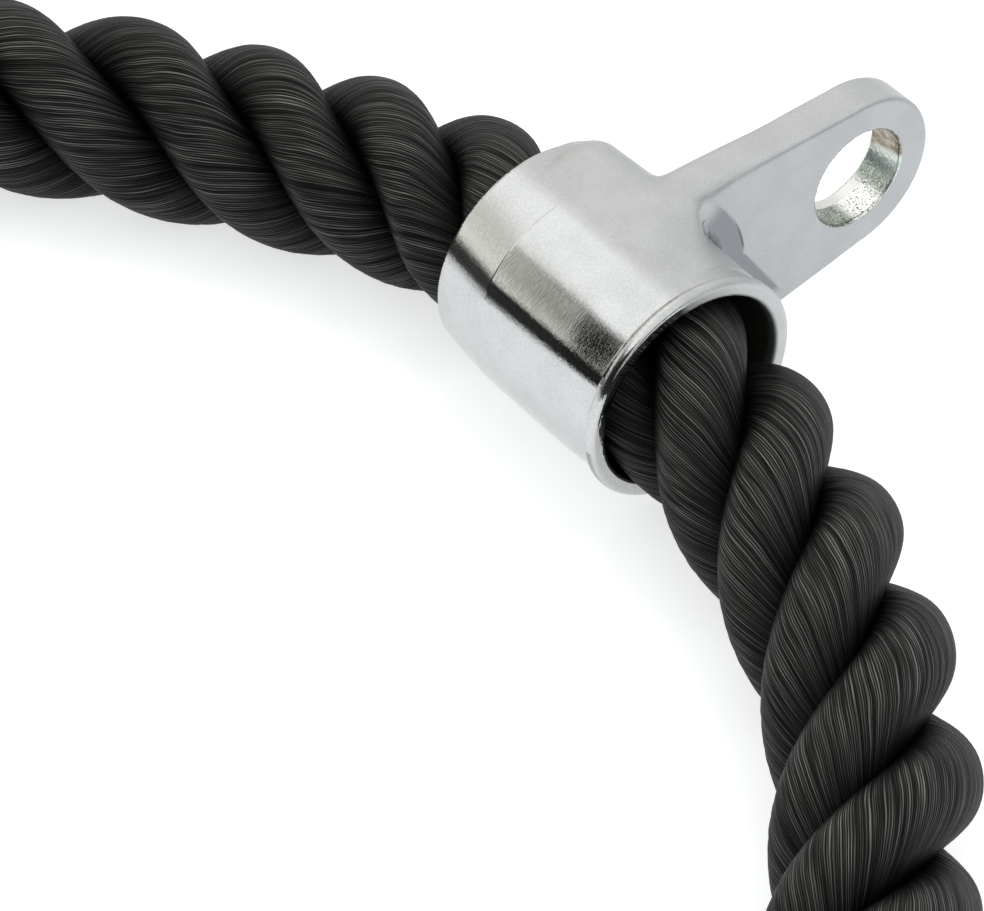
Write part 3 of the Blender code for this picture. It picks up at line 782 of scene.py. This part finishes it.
def rope_half(line, side, settings, material):
    """Three strands laid round the line from the bore's middle to one end, as one mesh."""
    rings, sides = settings.rings, settings.sides
    lengths = np.linspace(0, line.end(side), rings)
    centre = line.read(line.points, lengths)
    across = line.read(line.side, lengths)
    upward = line.read(line.up, lengths)
    centre = centre + across * smooth_read(lengths, DRIFT_PLACES, DRIFTS)[:, None]
    turn = np.radians(smooth_read(lengths, LAY_PLACES, LAY_TURNS))
    held = np.clip((np.abs(lengths) - (abs(line.end(side)) - HELD_LENGTH)) / HELD_RUN, 0, 1)
    shrink = smooth_read(lengths, FULLNESS_PLACES, FULLNESSES) * (1 - HELD_SHRINK * held)
    columns = np.linspace(-math.pi, math.pi, sides, endpoint=False)
    girth = (settings.strand_width + settings.strand_depth) / 2
    crest = settings.strand_offset + settings.strand_depth
    # Each column of points is a filament, which winds back round its strand as that winds round the rope
    phi = columns[None, :] - settings.filament_twist * crest / girth * turn[:, None]
    verts, faces, uvs, crests = [], [], [], []
    u = columns * girth
    seam = 2 * math.pi * girth / sides
    for k in range(3):
        angle = turn + 2 * math.pi * k / 3
        outward = np.cos(angle)[:, None] * across + np.sin(angle)[:, None] * upward
        sideways = -np.sin(angle)[:, None] * across + np.cos(angle)[:, None] * upward
        swell = 1 + SWELL * waves(lengths, SWELL_SEED + k + side, SWELL_SCALE)
        ripple = bundles(columns, lengths, BUNDLE_SEED + 3 * k + side)
        depth = settings.strand_depth * swell[:, None] + ripple
        width = settings.strand_width * swell[:, None] + ripple
        ring = centre[:, None, :] + (
            (settings.strand_offset + depth * np.cos(phi)) * shrink[:, None]
        )[:, :, None] * outward[:, None, :]
        ring = ring + (width * np.sin(phi) * shrink[:, None])[:, :, None] * sideways[:, None, :]
        ring[:, :, 2] = np.maximum(ring[:, :, 2], FLOOR_CLEARANCE)
        first = len(verts)
        verts += [tuple(p) for p in ring.reshape(-1, 3)]
        crests += list(np.cos(phi).ravel())
        across_shift, along_shift = (k * shift for shift in PATTERN_SHIFT)
        for i in range(rings - 1):
            for j in range(sides):
                a = first + i * sides + j
                b = first + i * sides + (j + 1) % sides
                quad = (a, b, b + sides, a + sides)
                corners = (
                    (u[j], lengths[i]),
                    (u[j] + seam, lengths[i]),
                    (u[j] + seam, lengths[i + 1]),
                    (u[j], lengths[i + 1]),
                )
                corners = [(x + across_shift, y + along_shift) for x, y in corners]
                faces.append(quad if side < 0 else quad[::-1])
                uvs += corners if side < 0 else corners[::-1]
        last = first + (rings - 1) * sides
        caps = ((first, side < 0), (last, side > 0))
        for start, flip in caps:
            cap = list(range(start, start + sides))
            faces.append(tuple(cap[::-1] if flip else cap))
            uvs += [(0, 0)] * sides
    word = "left" if side < 0 else "right"
    obj = mesh_object(f"rope_{word}", verts, faces)
    layer = obj.data.uv_layers.new(name="filaments")
    layer.data.foreach_set("uv", np.array(uvs, np.float32).ravel())
    attribute = obj.data.attributes.new("crest", "FLOAT", "POINT")
    attribute.data.foreach_set("value", np.array(crests, np.float32))
    only(obj)
    bpy.ops.object.shade_smooth()
    obj.data.materials.append(material)
    return obj, centre


class TRICEPS_OT_rope(Operator):
    """Lay the rope in its two halves, each of three strands"""

    bl_idname = "triceps.rope"
    bl_label = "Laid rope"

    def execute(self, context):
        settings = context.scene.triceps_rope
        material = rope_material(settings)
        line = RopeLine()
        for side, word, extra in ((-1, "left", ["rope_in_collar"]), (1, "right", [])):
            obj, centre = rope_half(line, side, settings, material)
            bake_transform(obj)
            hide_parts(f"rope_bend_{word}", f"rope_leg_{word}", *extra)
        return {"FINISHED"}


# Collar, in its own frame: X along the bore, Y towards the eye

# Barrel: straight sizes, then how far it is crowned, drawn in at its waist and raised at its lip
BORE_RADIUS = 0.0184
BARREL_RADIUS = 0.0210
HALF_LENGTH = 0.02215
CREASE_PLACE = -0.0098
BARREL_CROWN = 0.30
WAIST_DROP = 0.00042
WAIST_RUN = (0.0090, 0.0210)
LIP_RISE = 0.00062
LIP_RUN = (0.0194, 0.0205)
LIP_ROUND = 0.0011
LEFT_RIM_ROUND = 0.0006
LEFT_RIM_SHIFT = 0.0013
LEFT_RIM_LIMIT = 1.2
BORE_ROUND = 0.0008

# Eye plate: half its thickness, the eye, its round end, and how it grows towards the neck
PLATE_HALF = 0.00395
EYE_PLACE = 0.0529
EYE_RADIUS = 0.0097
EYE_ROUND = 0.0005
PLATE_END_RADIUS = 0.0160
PLATE_FLARE = 0.0038
PLATE_FLARE_POWER = 1.05
PLATE_RUN = 0.0323
PLATE_SPREAD = 0.0019
PLATE_SPREAD_RUN = (0.012, 0.042)

# Neck: its height, its plan on the left and where it ends on the right
NECK_TOP = 0.02115
NECK_TOP_FALL = 0.00015
NECK_TOP_RUN = 0.006
NECK_REACH = 0.0176
NECK_SLANT = 0.04
NECK_PROUD = 0.0002
NECK_ROUND = 0.0060
NECK_RIGHT = 0.0165
MIDDLE_RUN = (-0.003, 0.003)

# Cove on the right: tight low down and broad past these angles, and how softly it meets the plate
COVE_TIGHT = 0.0009
COVE_RADIUS = 0.0140
COVE_X = 0.0154
COVE_ANGLES = (0.60, 0.88)
COVE_SOFT_ANGLES = (0.55, 0.80)
COVE_SHARP = 0.0002
COVE_SOFT = 0.0040

# Recess in the plate's face beside the cove: its radius round the bore, edge, depth and ends by angle
RECESS_RADIUS = 0.0268
RECESS_EDGE_HALF = 0.0001
RECESS_DEPTH = 0.0003
RECESS_TOP = (0.58, 0.72)
RECESS_FOOT = (0.03, 0.20)

# How softly the surfaces flow together: neck's top and plate, left side, and arm and barrel by the distance Y
TOP_FLOW = 0.0016
LEFT_FLOW = 0.0022
RIGHT_FLOW = 0.0008
LEFT_FLOW_RUN = (0.005, 0.012)
RIGHT_FLOW_RUN = (0.004, 0.010)

# How round the arm's edges are, by the distance from the bore
NECK_LEFT_ROUNDS = ([0.012, 0.018, 0.030, 0.046], [0.0060, 0.0036, 0.0020, 0.0011])
NECK_RIGHT_ROUNDS = ([0.008, 0.016, 0.022, 0.032, 0.046], [0.0034, 0.0034, 0.0028, 0.0014, 0.0009])


# Limits that keep the search for the surface steady
LEAST_REACH = 1e-7
SLOPE_STEP = 1.5e-5
LEAST_SLOPE = 0.25
LONGEST_MOVE = 0.0008
# Where the surface's own direction is this far from the mesh's, the mesh's is kept
ASTRAY_ANGLE = math.radians(15)


def round_max(a, b, radius):
    """Where both solids are: their shared edge has a round of the radius."""
    flat = np.minimum(np.maximum(a, b), -radius)
    return flat + np.hypot(np.maximum(a + radius, 0), np.maximum(b + radius, 0))


def flow_min(a, b, reach):
    """Where either solid is, with a flowing blend of about the reach between them."""
    reach = np.maximum(reach, LEAST_REACH)
    share = np.clip(0.5 + 0.5 * (b - a) / reach, 0, 1)
    return b * (1 - share) + a * share - reach * share * (1 - share)


def casting(points):
    """About how far points stand outside the collar, in its own frame; below zero is metal."""
    x, y, z = points.T
    height = np.abs(z)
    radius = np.hypot(y, z)
    # Barrel, slightly crowned, with its lip on the right and its leaning left end
    past = np.clip((CREASE_PLACE - x) / (HALF_LENGTH + CREASE_PLACE), 0, LEFT_RIM_LIMIT)
    lean = np.hypot(y - LEFT_RIM_SHIFT * past, z)
    outer = BARREL_RADIUS - BARREL_CROWN * x**2
    outer -= WAIST_DROP * smooth_step(x, *WAIST_RUN)
    outer += (LIP_RISE + WAIST_DROP) * smooth_step(x, *LIP_RUN)
    ends = np.abs(x) - HALF_LENGTH
    barrel = round_max(lean - outer, ends, np.where(x > 0, LIP_ROUND, LEFT_RIM_ROUND))
    # One height for neck and plate, which flares towards the neck
    run = np.maximum(EYE_PLACE - y, 0)
    flare = PLATE_END_RADIUS + PLATE_FLARE * (run / PLATE_RUN) ** PLATE_FLARE_POWER
    crown = NECK_TOP - NECK_TOP_FALL * smooth_step(-y, -NECK_TOP_RUN, 0)
    level = height - flow_min(crown, flare, TOP_FLOW)
    level = np.where(y > EYE_PLACE, np.hypot(y - EYE_PLACE, z) - PLATE_END_RADIUS, level)
    # Plan of the neck, cut on the right by a turned cove, and of the plate
    left = round_max(y - NECK_REACH - NECK_SLANT * x, -x - HALF_LENGTH - NECK_PROUD, NECK_ROUND)
    angle = np.arctan2(height, y)
    broad = smooth_step(angle, *COVE_ANGLES)
    cove_radius = COVE_TIGHT + (COVE_RADIUS - COVE_TIGHT) * broad
    cove_x = (PLATE_HALF + COVE_TIGHT) * (1 - broad) + COVE_X * broad
    cove_centre = BARREL_RADIUS + cove_radius
    cove = cove_radius - np.hypot(x - cove_x, radius - cove_centre)
    cove = np.where(x > cove_x, radius - BARREL_RADIUS, cove)
    cove = np.where((radius > cove_centre) & (x < cove_x), x - cove_x + cove_radius, cove)
    right = smooth_step(x, *MIDDLE_RUN)
    neck = np.where(x > 0, cove, left)
    half = PLATE_HALF + PLATE_SPREAD * smooth_step(run, *PLATE_SPREAD_RUN) * (1 - right)
    recess = falling_step(radius, RECESS_RADIUS - RECESS_EDGE_HALF, RECESS_RADIUS + RECESS_EDGE_HALF)
    recess = recess * falling_step(angle, *RECESS_TOP) * smooth_step(angle, *RECESS_FOOT)
    half -= RECESS_DEPTH * recess * right
    reach = COVE_SHARP + COVE_SOFT * smooth_step(angle, *COVE_SOFT_ANGLES)
    plan = flow_min(np.abs(x) - half, neck, reach * right + LEFT_FLOW * (1 - right))
    left_round = np.interp(y, *NECK_LEFT_ROUNDS)
    right_round = np.interp(y, *NECK_RIGHT_ROUNDS)
    arm = round_max(level, plan, right_round * right + left_round * (1 - right))
    arm = np.maximum(np.maximum(arm, -y), x - NECK_RIGHT)
    flow = LEFT_FLOW * smooth_step(y, *LEFT_FLOW_RUN) * (1 - right)
    flow = flow + RIGHT_FLOW * smooth_step(y, *RIGHT_FLOW_RUN) * right
    body = flow_min(barrel, arm, flow)
    # Openings
    body = round_max(body, BORE_RADIUS - radius, BORE_ROUND)
    return round_max(body, EYE_RADIUS - np.hypot(y - EYE_PLACE, z), EYE_ROUND)


def casting_slope(points):
    slope = np.empty_like(points)
    for axis in range(3):
        step = np.zeros(3)
        step[axis] = SLOPE_STEP
        slope[:, axis] = (casting(points + step) - casting(points - step)) / (2 * SLOPE_STEP)
    return slope


def onto_casting(points, rounds):
    for _ in range(rounds):
        value = casting(points)
        slope = casting_slope(points)
        move = value / np.maximum((slope**2).sum(axis=1), LEAST_SLOPE)
        points = points - slope * np.clip(move, -LONGEST_MOVE, LONGEST_MOVE)[:, None]
    return points


def mesh_points(obj):
    points = np.empty(3 * len(obj.data.vertices))
    obj.data.vertices.foreach_get("co", points)
    return points.reshape(-1, 3)


class TRICEPS_OT_collar(Operator):
    """Cast the collar finely: barrel, lip, flowing neck, cove and eye plate"""

    bl_idname = "triceps.collar"
    bl_label = "Plated collar"

    def execute(self, context):
        settings = context.scene.triceps_collar
        obj = mesh_copy("plated_collar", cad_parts["collar"])
        only(obj)
        bpy.ops.object.mode_set(mode="EDIT")
        bpy.ops.mesh.select_all(action="SELECT")
        bpy.ops.mesh.remove_doubles(threshold=MERGE_DISTANCE)
        bpy.ops.object.mode_set(mode="OBJECT")
        remesh = obj.modifiers.new("even", "REMESH")
        remesh.mode = "VOXEL"
        remesh.voxel_size = settings.voxel
        apply_all(obj)
        turn = Matrix.Rotation(COLLAR_TURN, 4, "X")
        place = Matrix.Translation(BORE) @ turn
        to_collar = np.array(place.inverted())
        to_world = np.array(place)
        points = mesh_points(obj) @ to_collar[:3, :3].T + to_collar[:3, 3]
        points = onto_casting(points, rounds=5)
        for _ in range(2):
            obj.data.vertices.foreach_set("co", points.ravel())
            smoother = obj.modifiers.new("even", "SMOOTH")
            smoother.factor = 0.5
            smoother.iterations = 2
            apply_all(obj)
            points = onto_casting(mesh_points(obj), rounds=3)
        points = points @ to_world[:3, :3].T + to_world[:3, 3]
        obj.data.vertices.foreach_set("co", points.ravel())
        obj.data.update()
        finish_mesh(obj, steel_material(settings))
        points = mesh_points(obj) @ to_collar[:3, :3].T + to_collar[:3, 3]
        normals = casting_slope(points) @ to_world[:3, :3].T
        normals /= np.linalg.norm(normals, axis=1)[:, None]
        plain = np.empty(normals.size)
        obj.data.vertices.foreach_get("normal", plain)
        plain = plain.reshape(-1, 3)
        astray = (normals * plain).sum(axis=1) < math.cos(ASTRAY_ANGLE)
        normals[astray] = plain[astray]
        obj.data.normals_split_custom_set_from_vertices(normals.tolist())
        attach(obj, "collar")
        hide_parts("collar")
        return {"FINISHED"}


# Stops and what holds them, turned about the rope's end; heights are from each piece's own foot

ROPE_END = Vector((0.185, -0.2500, 0.0290))
# From the rope's end back to the stop's heel
END_DEPTH = 0.0523
STOP_LENGTH = 0.0672
STOP_RADIUS = 0.029
STOP_FACE_RADIUS = 0.022
STOP_HEEL_RADIUS = 0.0215
STOP_BORE = 0.0164
STOP_GRIP = 0.034
STOP_SHOULDER = 0.013
STOP_BAND = 0.027
HEEL_ROUND = 0.003
MOUTH_ROUND = 0.0008
POCKET = 0.0182
POCKET_EDGE = 0.0004
FERRULE_INNER = 0.0163
FERRULE_OUTER = 0.0179
FERRULE_LENGTH = 0.018
FERRULE_EDGE = 0.0005
WASHER_INNER = 0.0043
WASHER_LENGTH = 0.0025
WASHER_EDGE = 0.0004
SMALL_EDGE = 0.0002
HEAD_RADIUS = 0.0075
HEAD_HEIGHT = 0.0055
SHANK_RADIUS = 0.004
SHANK_TIP = 0.0371
POINT_LENGTH = 0.006
PLUG_GAP = 0.0003
PLUG_THICKNESS = 0.006
PLUG_EDGE = 0.0008
# How far each piece's foot lies beyond the stop's heel
FERRULE_PLACE = 0.0343
WASHER_PLACE = 0.0526
SCREW_PLACE = 0.0554
PLUG_PLACE = 0.0612
# Places along a small round and along the stop's taper
ROUND_PLACES = 7
TAPER_PLACES = 33
PLUG_COLOUR = (0.022, 0.022, 0.023)
FASTENER_COLOUR = (0.6, 0.61, 0.62)


def rounded(corners):
    """A profile from corners of (radius, height, round), each cut back by a quarter of a circle."""
    points = []
    count = len(corners)
    for i, (r, h, size) in enumerate(corners):
        here = Vector((r, h))
        if not size:
            points.append((r, h))
            continue
        before = (Vector(corners[i - 1][:2]) - here).normalized() * size
        after = (Vector(corners[(i + 1) % count][:2]) - here).normalized() * size
        for t in np.linspace(0, math.pi / 2, ROUND_PLACES):
            spot = here + before * (1 - math.sin(t)) + after * (1 - math.cos(t))
            points.append((max(spot.x, 0), spot.y))
    return points


def stop_profile():
    """Rounded shoulder at the face, a long eased taper to the heel, the rope's bore and the end's pocket."""
    shoulder, band = STOP_LENGTH - STOP_SHOULDER, STOP_LENGTH - STOP_BAND
    widening = STOP_RADIUS - STOP_FACE_RADIUS
    quarter = arc((0, 0), 1, 90, 0, steps=24)
    points = [(STOP_FACE_RADIUS + widening * a, shoulder + STOP_SHOULDER * b) for a, b in quarter]
    for share in np.linspace(0, 1, TAPER_PLACES):
        eased = share * share * (3 - 2 * share)
        radius = STOP_RADIUS + (STOP_HEEL_RADIUS - STOP_RADIUS) * eased
        points.append((radius, band + (HEEL_ROUND - band) * share))
    points += arc((STOP_HEEL_RADIUS - HEEL_ROUND, HEEL_ROUND), HEEL_ROUND, 0, -90, steps=10)[1:]
    points += arc((STOP_BORE + MOUTH_ROUND, MOUTH_ROUND), MOUTH_ROUND, 270, 180, steps=6)
    points += [(STOP_BORE, STOP_GRIP), (POCKET, STOP_GRIP)]
    return points + [(POCKET, STOP_LENGTH - POCKET_EDGE), (POCKET + POCKET_EDGE, STOP_LENGTH)]


def ring_profile(inner, length, edge):
    outer = FERRULE_OUTER
    return rounded(
        [(outer, length, edge), (outer, 0, edge), (inner, 0, SMALL_EDGE), (inner, length, SMALL_EDGE)]
    )


def screw_profile():
    """Pan head over a shank that ends in a point; height 0 is under the head."""
    dome = arc((0, 0), 1, 60, 0, steps=12)
    points = [(0, HEAD_HEIGHT), *((HEAD_RADIUS * (1 + a) / 2, HEAD_HEIGHT * (1 + b) / 2) for a, b in dome)]
    points += [(HEAD_RADIUS, SMALL_EDGE), (HEAD_RADIUS - SMALL_EDGE, 0)]
    return points + [(SHANK_RADIUS, 0), (SHANK_RADIUS, POINT_LENGTH - SHANK_TIP), (0, -SHANK_TIP)]


def plug_profile():
    outer, top = POCKET - PLUG_GAP, PLUG_THICKNESS
    return [(0, top), *rounded([(0, top, 0), (outer, top, PLUG_EDGE), (outer, 0, SMALL_EDGE), (0, 0, 0)])[1:]]


class TRICEPS_OT_stops(Operator):
    """Turn the moulded stops and what holds them on the rope"""

    bl_idname = "triceps.stops"
    bl_label = "Moulded stops"

    def execute(self, context):
        settings = context.scene.triceps_stops
        rubber = plain_material("black_moulded_rubber", settings.colour, roughness=0.62)
        plastic = plain_material("black_plug_plastic", PLUG_COLOUR, roughness=0.45)
        steel = plain_material("zinc_fastener_steel", FASTENER_COLOUR, roughness=0.35, metallic=1.0)
        ferrule = ring_profile(FERRULE_INNER, FERRULE_LENGTH, FERRULE_EDGE)
        washer = ring_profile(WASHER_INNER, WASHER_LENGTH, WASHER_EDGE)
        pieces = (
            ("moulded_stop", "end_stop", stop_profile(), True, 0, rubber, "black_rubber"),
            ("fine_ferrule", "rope_ferrule", ferrule, True, FERRULE_PLACE, steel, "zinc_steel"),
            ("fine_washer", "retaining_washer", washer, True, WASHER_PLACE, steel, "zinc_steel"),
            ("fine_screw", "retaining_screw", screw_profile(), False, SCREW_PLACE, steel, "zinc_steel"),
            ("fine_plug", "end_plug", plug_profile(), False, PLUG_PLACE, plastic, "black_plastic"),
        )
        turn = Matrix.Rotation(math.radians(90), 4, "X")
        for side, word in ((-1, "left"), (1, "right")):
            heel = Vector((side * ROPE_END.x, BORE.y + ROPE_END.y + END_DEPTH, ROPE_END.z))
            for name, node, profile, closed, depth, material, slot in pieces:
                place = Matrix.Translation(heel - Vector((0, depth, 0))) @ turn
                obj = turned(f"{name}_{word}", profile, settings.segments, place, material, closed)
                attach(obj, f"leg_{word}")
                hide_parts(f"{node}_{word}")
        return {"FINISHED"}


# Studio

# The camera as fitted to the photograph: its place from the middle of the bore and its own directions
CAMERA_PLACE = Vector((0.42446, -0.35571, 0.52265))
CAMERA_RIGHT = Vector((0.61823, 0.78598, -0.00465))
CAMERA_UP = Vector((-0.55453, 0.44041, 0.70602))
CAMERA_BACK = Vector((0.55704, -0.43391, 0.70818))
SENSOR_WIDTH = 36
VIEW_RANGE = (0.01, 100)

FLOOR_COLOUR = (0.49, 0.5, 0.505, 1)
FLOOR_GLOW = (0.99, 1, 1, 1)
FLOOR_GLOW_STRENGTH = 0.69

# Soft light from above and behind: its place, what it points at, its side and its watts
KEY_PLACE = Vector((-0.3, 0.9, 1.9))
KEY_TARGET = Vector((0, 0.05, 0))
KEY_SIZE = 1.6
KEY_POWER = 12

# Brightness and warmth of the light tent by height, 0 at the floor's level and 1 overhead
FRONT_TENT = [
    (0.0, 0.02, 0.1),
    (0.150, 0.02, 0.1),
    (0.170, 0.06, 0.25),
    (0.178, 1.30, 0.1),
    (0.40, 1.05, 0.1),
    (0.655, 0.95, 0.1),
    (0.715, 1.44, 0.01),
    (0.86, 1.40, 0.01),
    (1.0, 1.1, 0),
]
BACK_TENT = [
    (0.0, 0.25, 0),
    (0.06, 0.3, 0),
    (0.12, 0.99, 0),
    (0.70, 1.04, 0.01),
    (0.80, 1.09, 0.01),
    (1.0, 1.09, 0),
]

# The tent's front lies about this direction, and fades in over this range
FRONT_DIRECTION = (-0.643, -0.766, 0)
FRONT_RANGE = (-0.05, 0.40)
# A dark opening, a stripe over it and a greyer right side: their edges by bearing in radians and by height
EDGE_LEAN = 0.485
OPENING_EDGE = (-2.050, -2.030)
OPENING_BEARING = (-0.7, -0.3, 1.0, 0.0)
OPENING_HEIGHT = (0.66, 0.71, 1.0, 0.0)
OPENING_COLOUR = (0.022, 0.022, 0.02)
STRIPE_EDGE = (-2.10, -2.06)
STRIPE_BEARING = (-1.2, -0.9, 1.0, 0.0)
STRIPE_FOOT = (0.56, 0.61)
STRIPE_TOP = (0.655, 0.70, 0.8, 0.0)
STRIPE_COLOUR = (0.08, 0.085, 0.08)
RIGHT_START = (-0.4, -0.1)
RIGHT_END = (1.7, 2.0, 1.0, 0.0)
RIGHT_HEIGHT = (0.18, 0.48, 1.0, 0.0)
RIGHT_COLOUR = (0.24, 0.245, 0.26)


class TRICEPS_OT_camera(Operator):
    """Set the camera where the photograph was taken from"""

    bl_idname = "triceps.camera"
    bl_label = "Camera"

    def execute(self, context):
        settings = context.scene.triceps_studio
        data = bpy.data.cameras.new("camera")
        data.lens = settings.lens
        data.sensor_width = SENSOR_WIDTH
        data.clip_start, data.clip_end = VIEW_RANGE
        camera = bpy.data.objects.new("camera", data)
        context.scene.collection.objects.link(camera)
        turn = Matrix((CAMERA_RIGHT, CAMERA_UP, CAMERA_BACK)).transposed().to_4x4()
        camera.matrix_world = Matrix.Translation(BORE + CAMERA_PLACE) @ turn
        context.scene.camera = camera
        return {"FINISHED"}


class TRICEPS_OT_studio(Operator):
    """Set the floor, the soft lights and the pale surroundings"""

    bl_idname = "triceps.studio"
    bl_label = "Studio"

    def execute(self, context):
        settings = context.scene.triceps_studio
        deselect()
        bpy.ops.mesh.primitive_plane_add(size=settings.floor_size, location=(0, 0, 0))
        floor = context.object
        floor.name = "floor"
        material, n, shader = new_material("pale_floor")
        shader.inputs["Base Color"].default_value = FLOOR_COLOUR
        shader.inputs["Emission Color"].default_value = FLOOR_GLOW
        shader.inputs["Emission Strength"].default_value = FLOOR_GLOW_STRENGTH
        shader.inputs["Roughness"].default_value = 0.9
        shader.inputs["Specular IOR Level"].default_value = 0.1
        floor.data.materials.append(material)
        self.light()
        context.scene.view_settings.view_transform = "Standard"
        self.surroundings(context.scene)
        return {"FINISHED"}

    def light(self):
        data = bpy.data.lights.new("key", "AREA")
        data.shape = "SQUARE"
        data.size = KEY_SIZE
        data.energy = KEY_POWER
        lamp = bpy.data.objects.new("key", data)
        bpy.context.scene.collection.objects.link(lamp)
        lamp.location = KEY_PLACE
        lamp.visible_glossy = False
        lamp.rotation_mode = "QUATERNION"
        lamp.rotation_quaternion = (KEY_TARGET - KEY_PLACE).to_track_quat("-Z", "Y")

    def surroundings(self, scene):
        """A light tent: white above and behind, dimmer low down at the front left, dark at its foot."""
        world = bpy.data.worlds.new("light_tent")
        scene.world = world
        world.use_nodes = True
        n = Nodes(world.node_tree)
        background = world.node_tree.nodes["Background"]
        direction = n.add("ShaderNodeTexCoord").outputs["Generated"]
        x, y, height = n.add("ShaderNodeSeparateXYZ", {0: direction}).outputs
        level = n.add("ShaderNodeVectorMath", {0: n.flat(x, y)}, operation="NORMALIZE").outputs[0]
        front = n.fade(n.along(level, FRONT_DIRECTION), *FRONT_RANGE)
        tent = n.mix(front, self.ramp(n, height, BACK_TENT), self.ramp(n, height, FRONT_TENT))
        bearing = n.math("ARCTAN2", y, x)
        edge = n.math("ADD", bearing, n.math("MULTIPLY", height, EDGE_LEAN))
        opening = n.zone((edge, OPENING_EDGE), (bearing, OPENING_BEARING), (height, OPENING_HEIGHT))
        tent = n.mix(opening, tent, OPENING_COLOUR)
        stripe = n.zone((edge, STRIPE_EDGE), (bearing, STRIPE_BEARING), (height, STRIPE_FOOT))
        stripe = n.math("MULTIPLY", stripe, n.fade(height, *STRIPE_TOP))
        tent = n.mix(stripe, tent, STRIPE_COLOUR)
        right = n.zone((bearing, RIGHT_START), (bearing, RIGHT_END), (height, RIGHT_HEIGHT))
        n.tree.links.new(n.mix(right, tent, RIGHT_COLOUR), background.inputs[0])
        background.inputs[1].default_value = 1.0

    def ramp(self, n, height, stops):
        ramp = n.add("ShaderNodeValToRGB", {0: height})
        elements = ramp.color_ramp.elements
        while len(elements) < len(stops):
            elements.new(0.5)
        for element, (position, value, warmth) in zip(elements, stops):
            element.position = position
            element.color = (value, value, value * (1 - warmth), 1)
        return ramp.outputs[0]


class TRICEPS_PT_panel(Panel):
    """Buttons that dress the part"""

    bl_label = "Triceps rope"
    bl_idname = "TRICEPS_PT_panel"
    bl_space_type = "VIEW_3D"
    bl_region_type = "UI"
    bl_category = "Triceps Rope"

    def draw(self, context):
        layout = self.layout
        for operator in OPERATORS:
            layout.operator(operator.bl_idname)
        for group in GROUPS:
            settings = getattr(context.scene, group)
            for key in settings.bl_rna.properties.keys():
                if key not in ("name", "rna_type"):
                    layout.prop(settings, key)


OPERATORS = [TRICEPS_OT_camera, TRICEPS_OT_rope, TRICEPS_OT_collar, TRICEPS_OT_stops, TRICEPS_OT_studio]
GROUPS = {
    "triceps_rope": RopeSettings,
    "triceps_collar": CollarSettings,
    "triceps_stops": StopSettings,
    "triceps_studio": StudioSettings,
}


def register():
    for group in GROUPS.values():
        bpy.utils.register_class(group)
    for name, group in GROUPS.items():
        setattr(bpy.types.Scene, name, PointerProperty(type=group))
    for operator in OPERATORS:
        bpy.utils.register_class(operator)
    bpy.utils.register_class(TRICEPS_PT_panel)


def unregister():
    bpy.utils.unregister_class(TRICEPS_PT_panel)
    for operator in reversed(OPERATORS):
        bpy.utils.unregister_class(operator)
    for name in GROUPS:
        delattr(bpy.types.Scene, name)
    for group in GROUPS.values():
        bpy.utils.unregister_class(group)


def main():
    register()
    bpy.ops.triceps.camera()
    bpy.ops.triceps.rope()
    bpy.ops.triceps.collar()
    bpy.ops.triceps.stops()
    bpy.ops.triceps.studio()


if __name__ == "__main__":
    main()
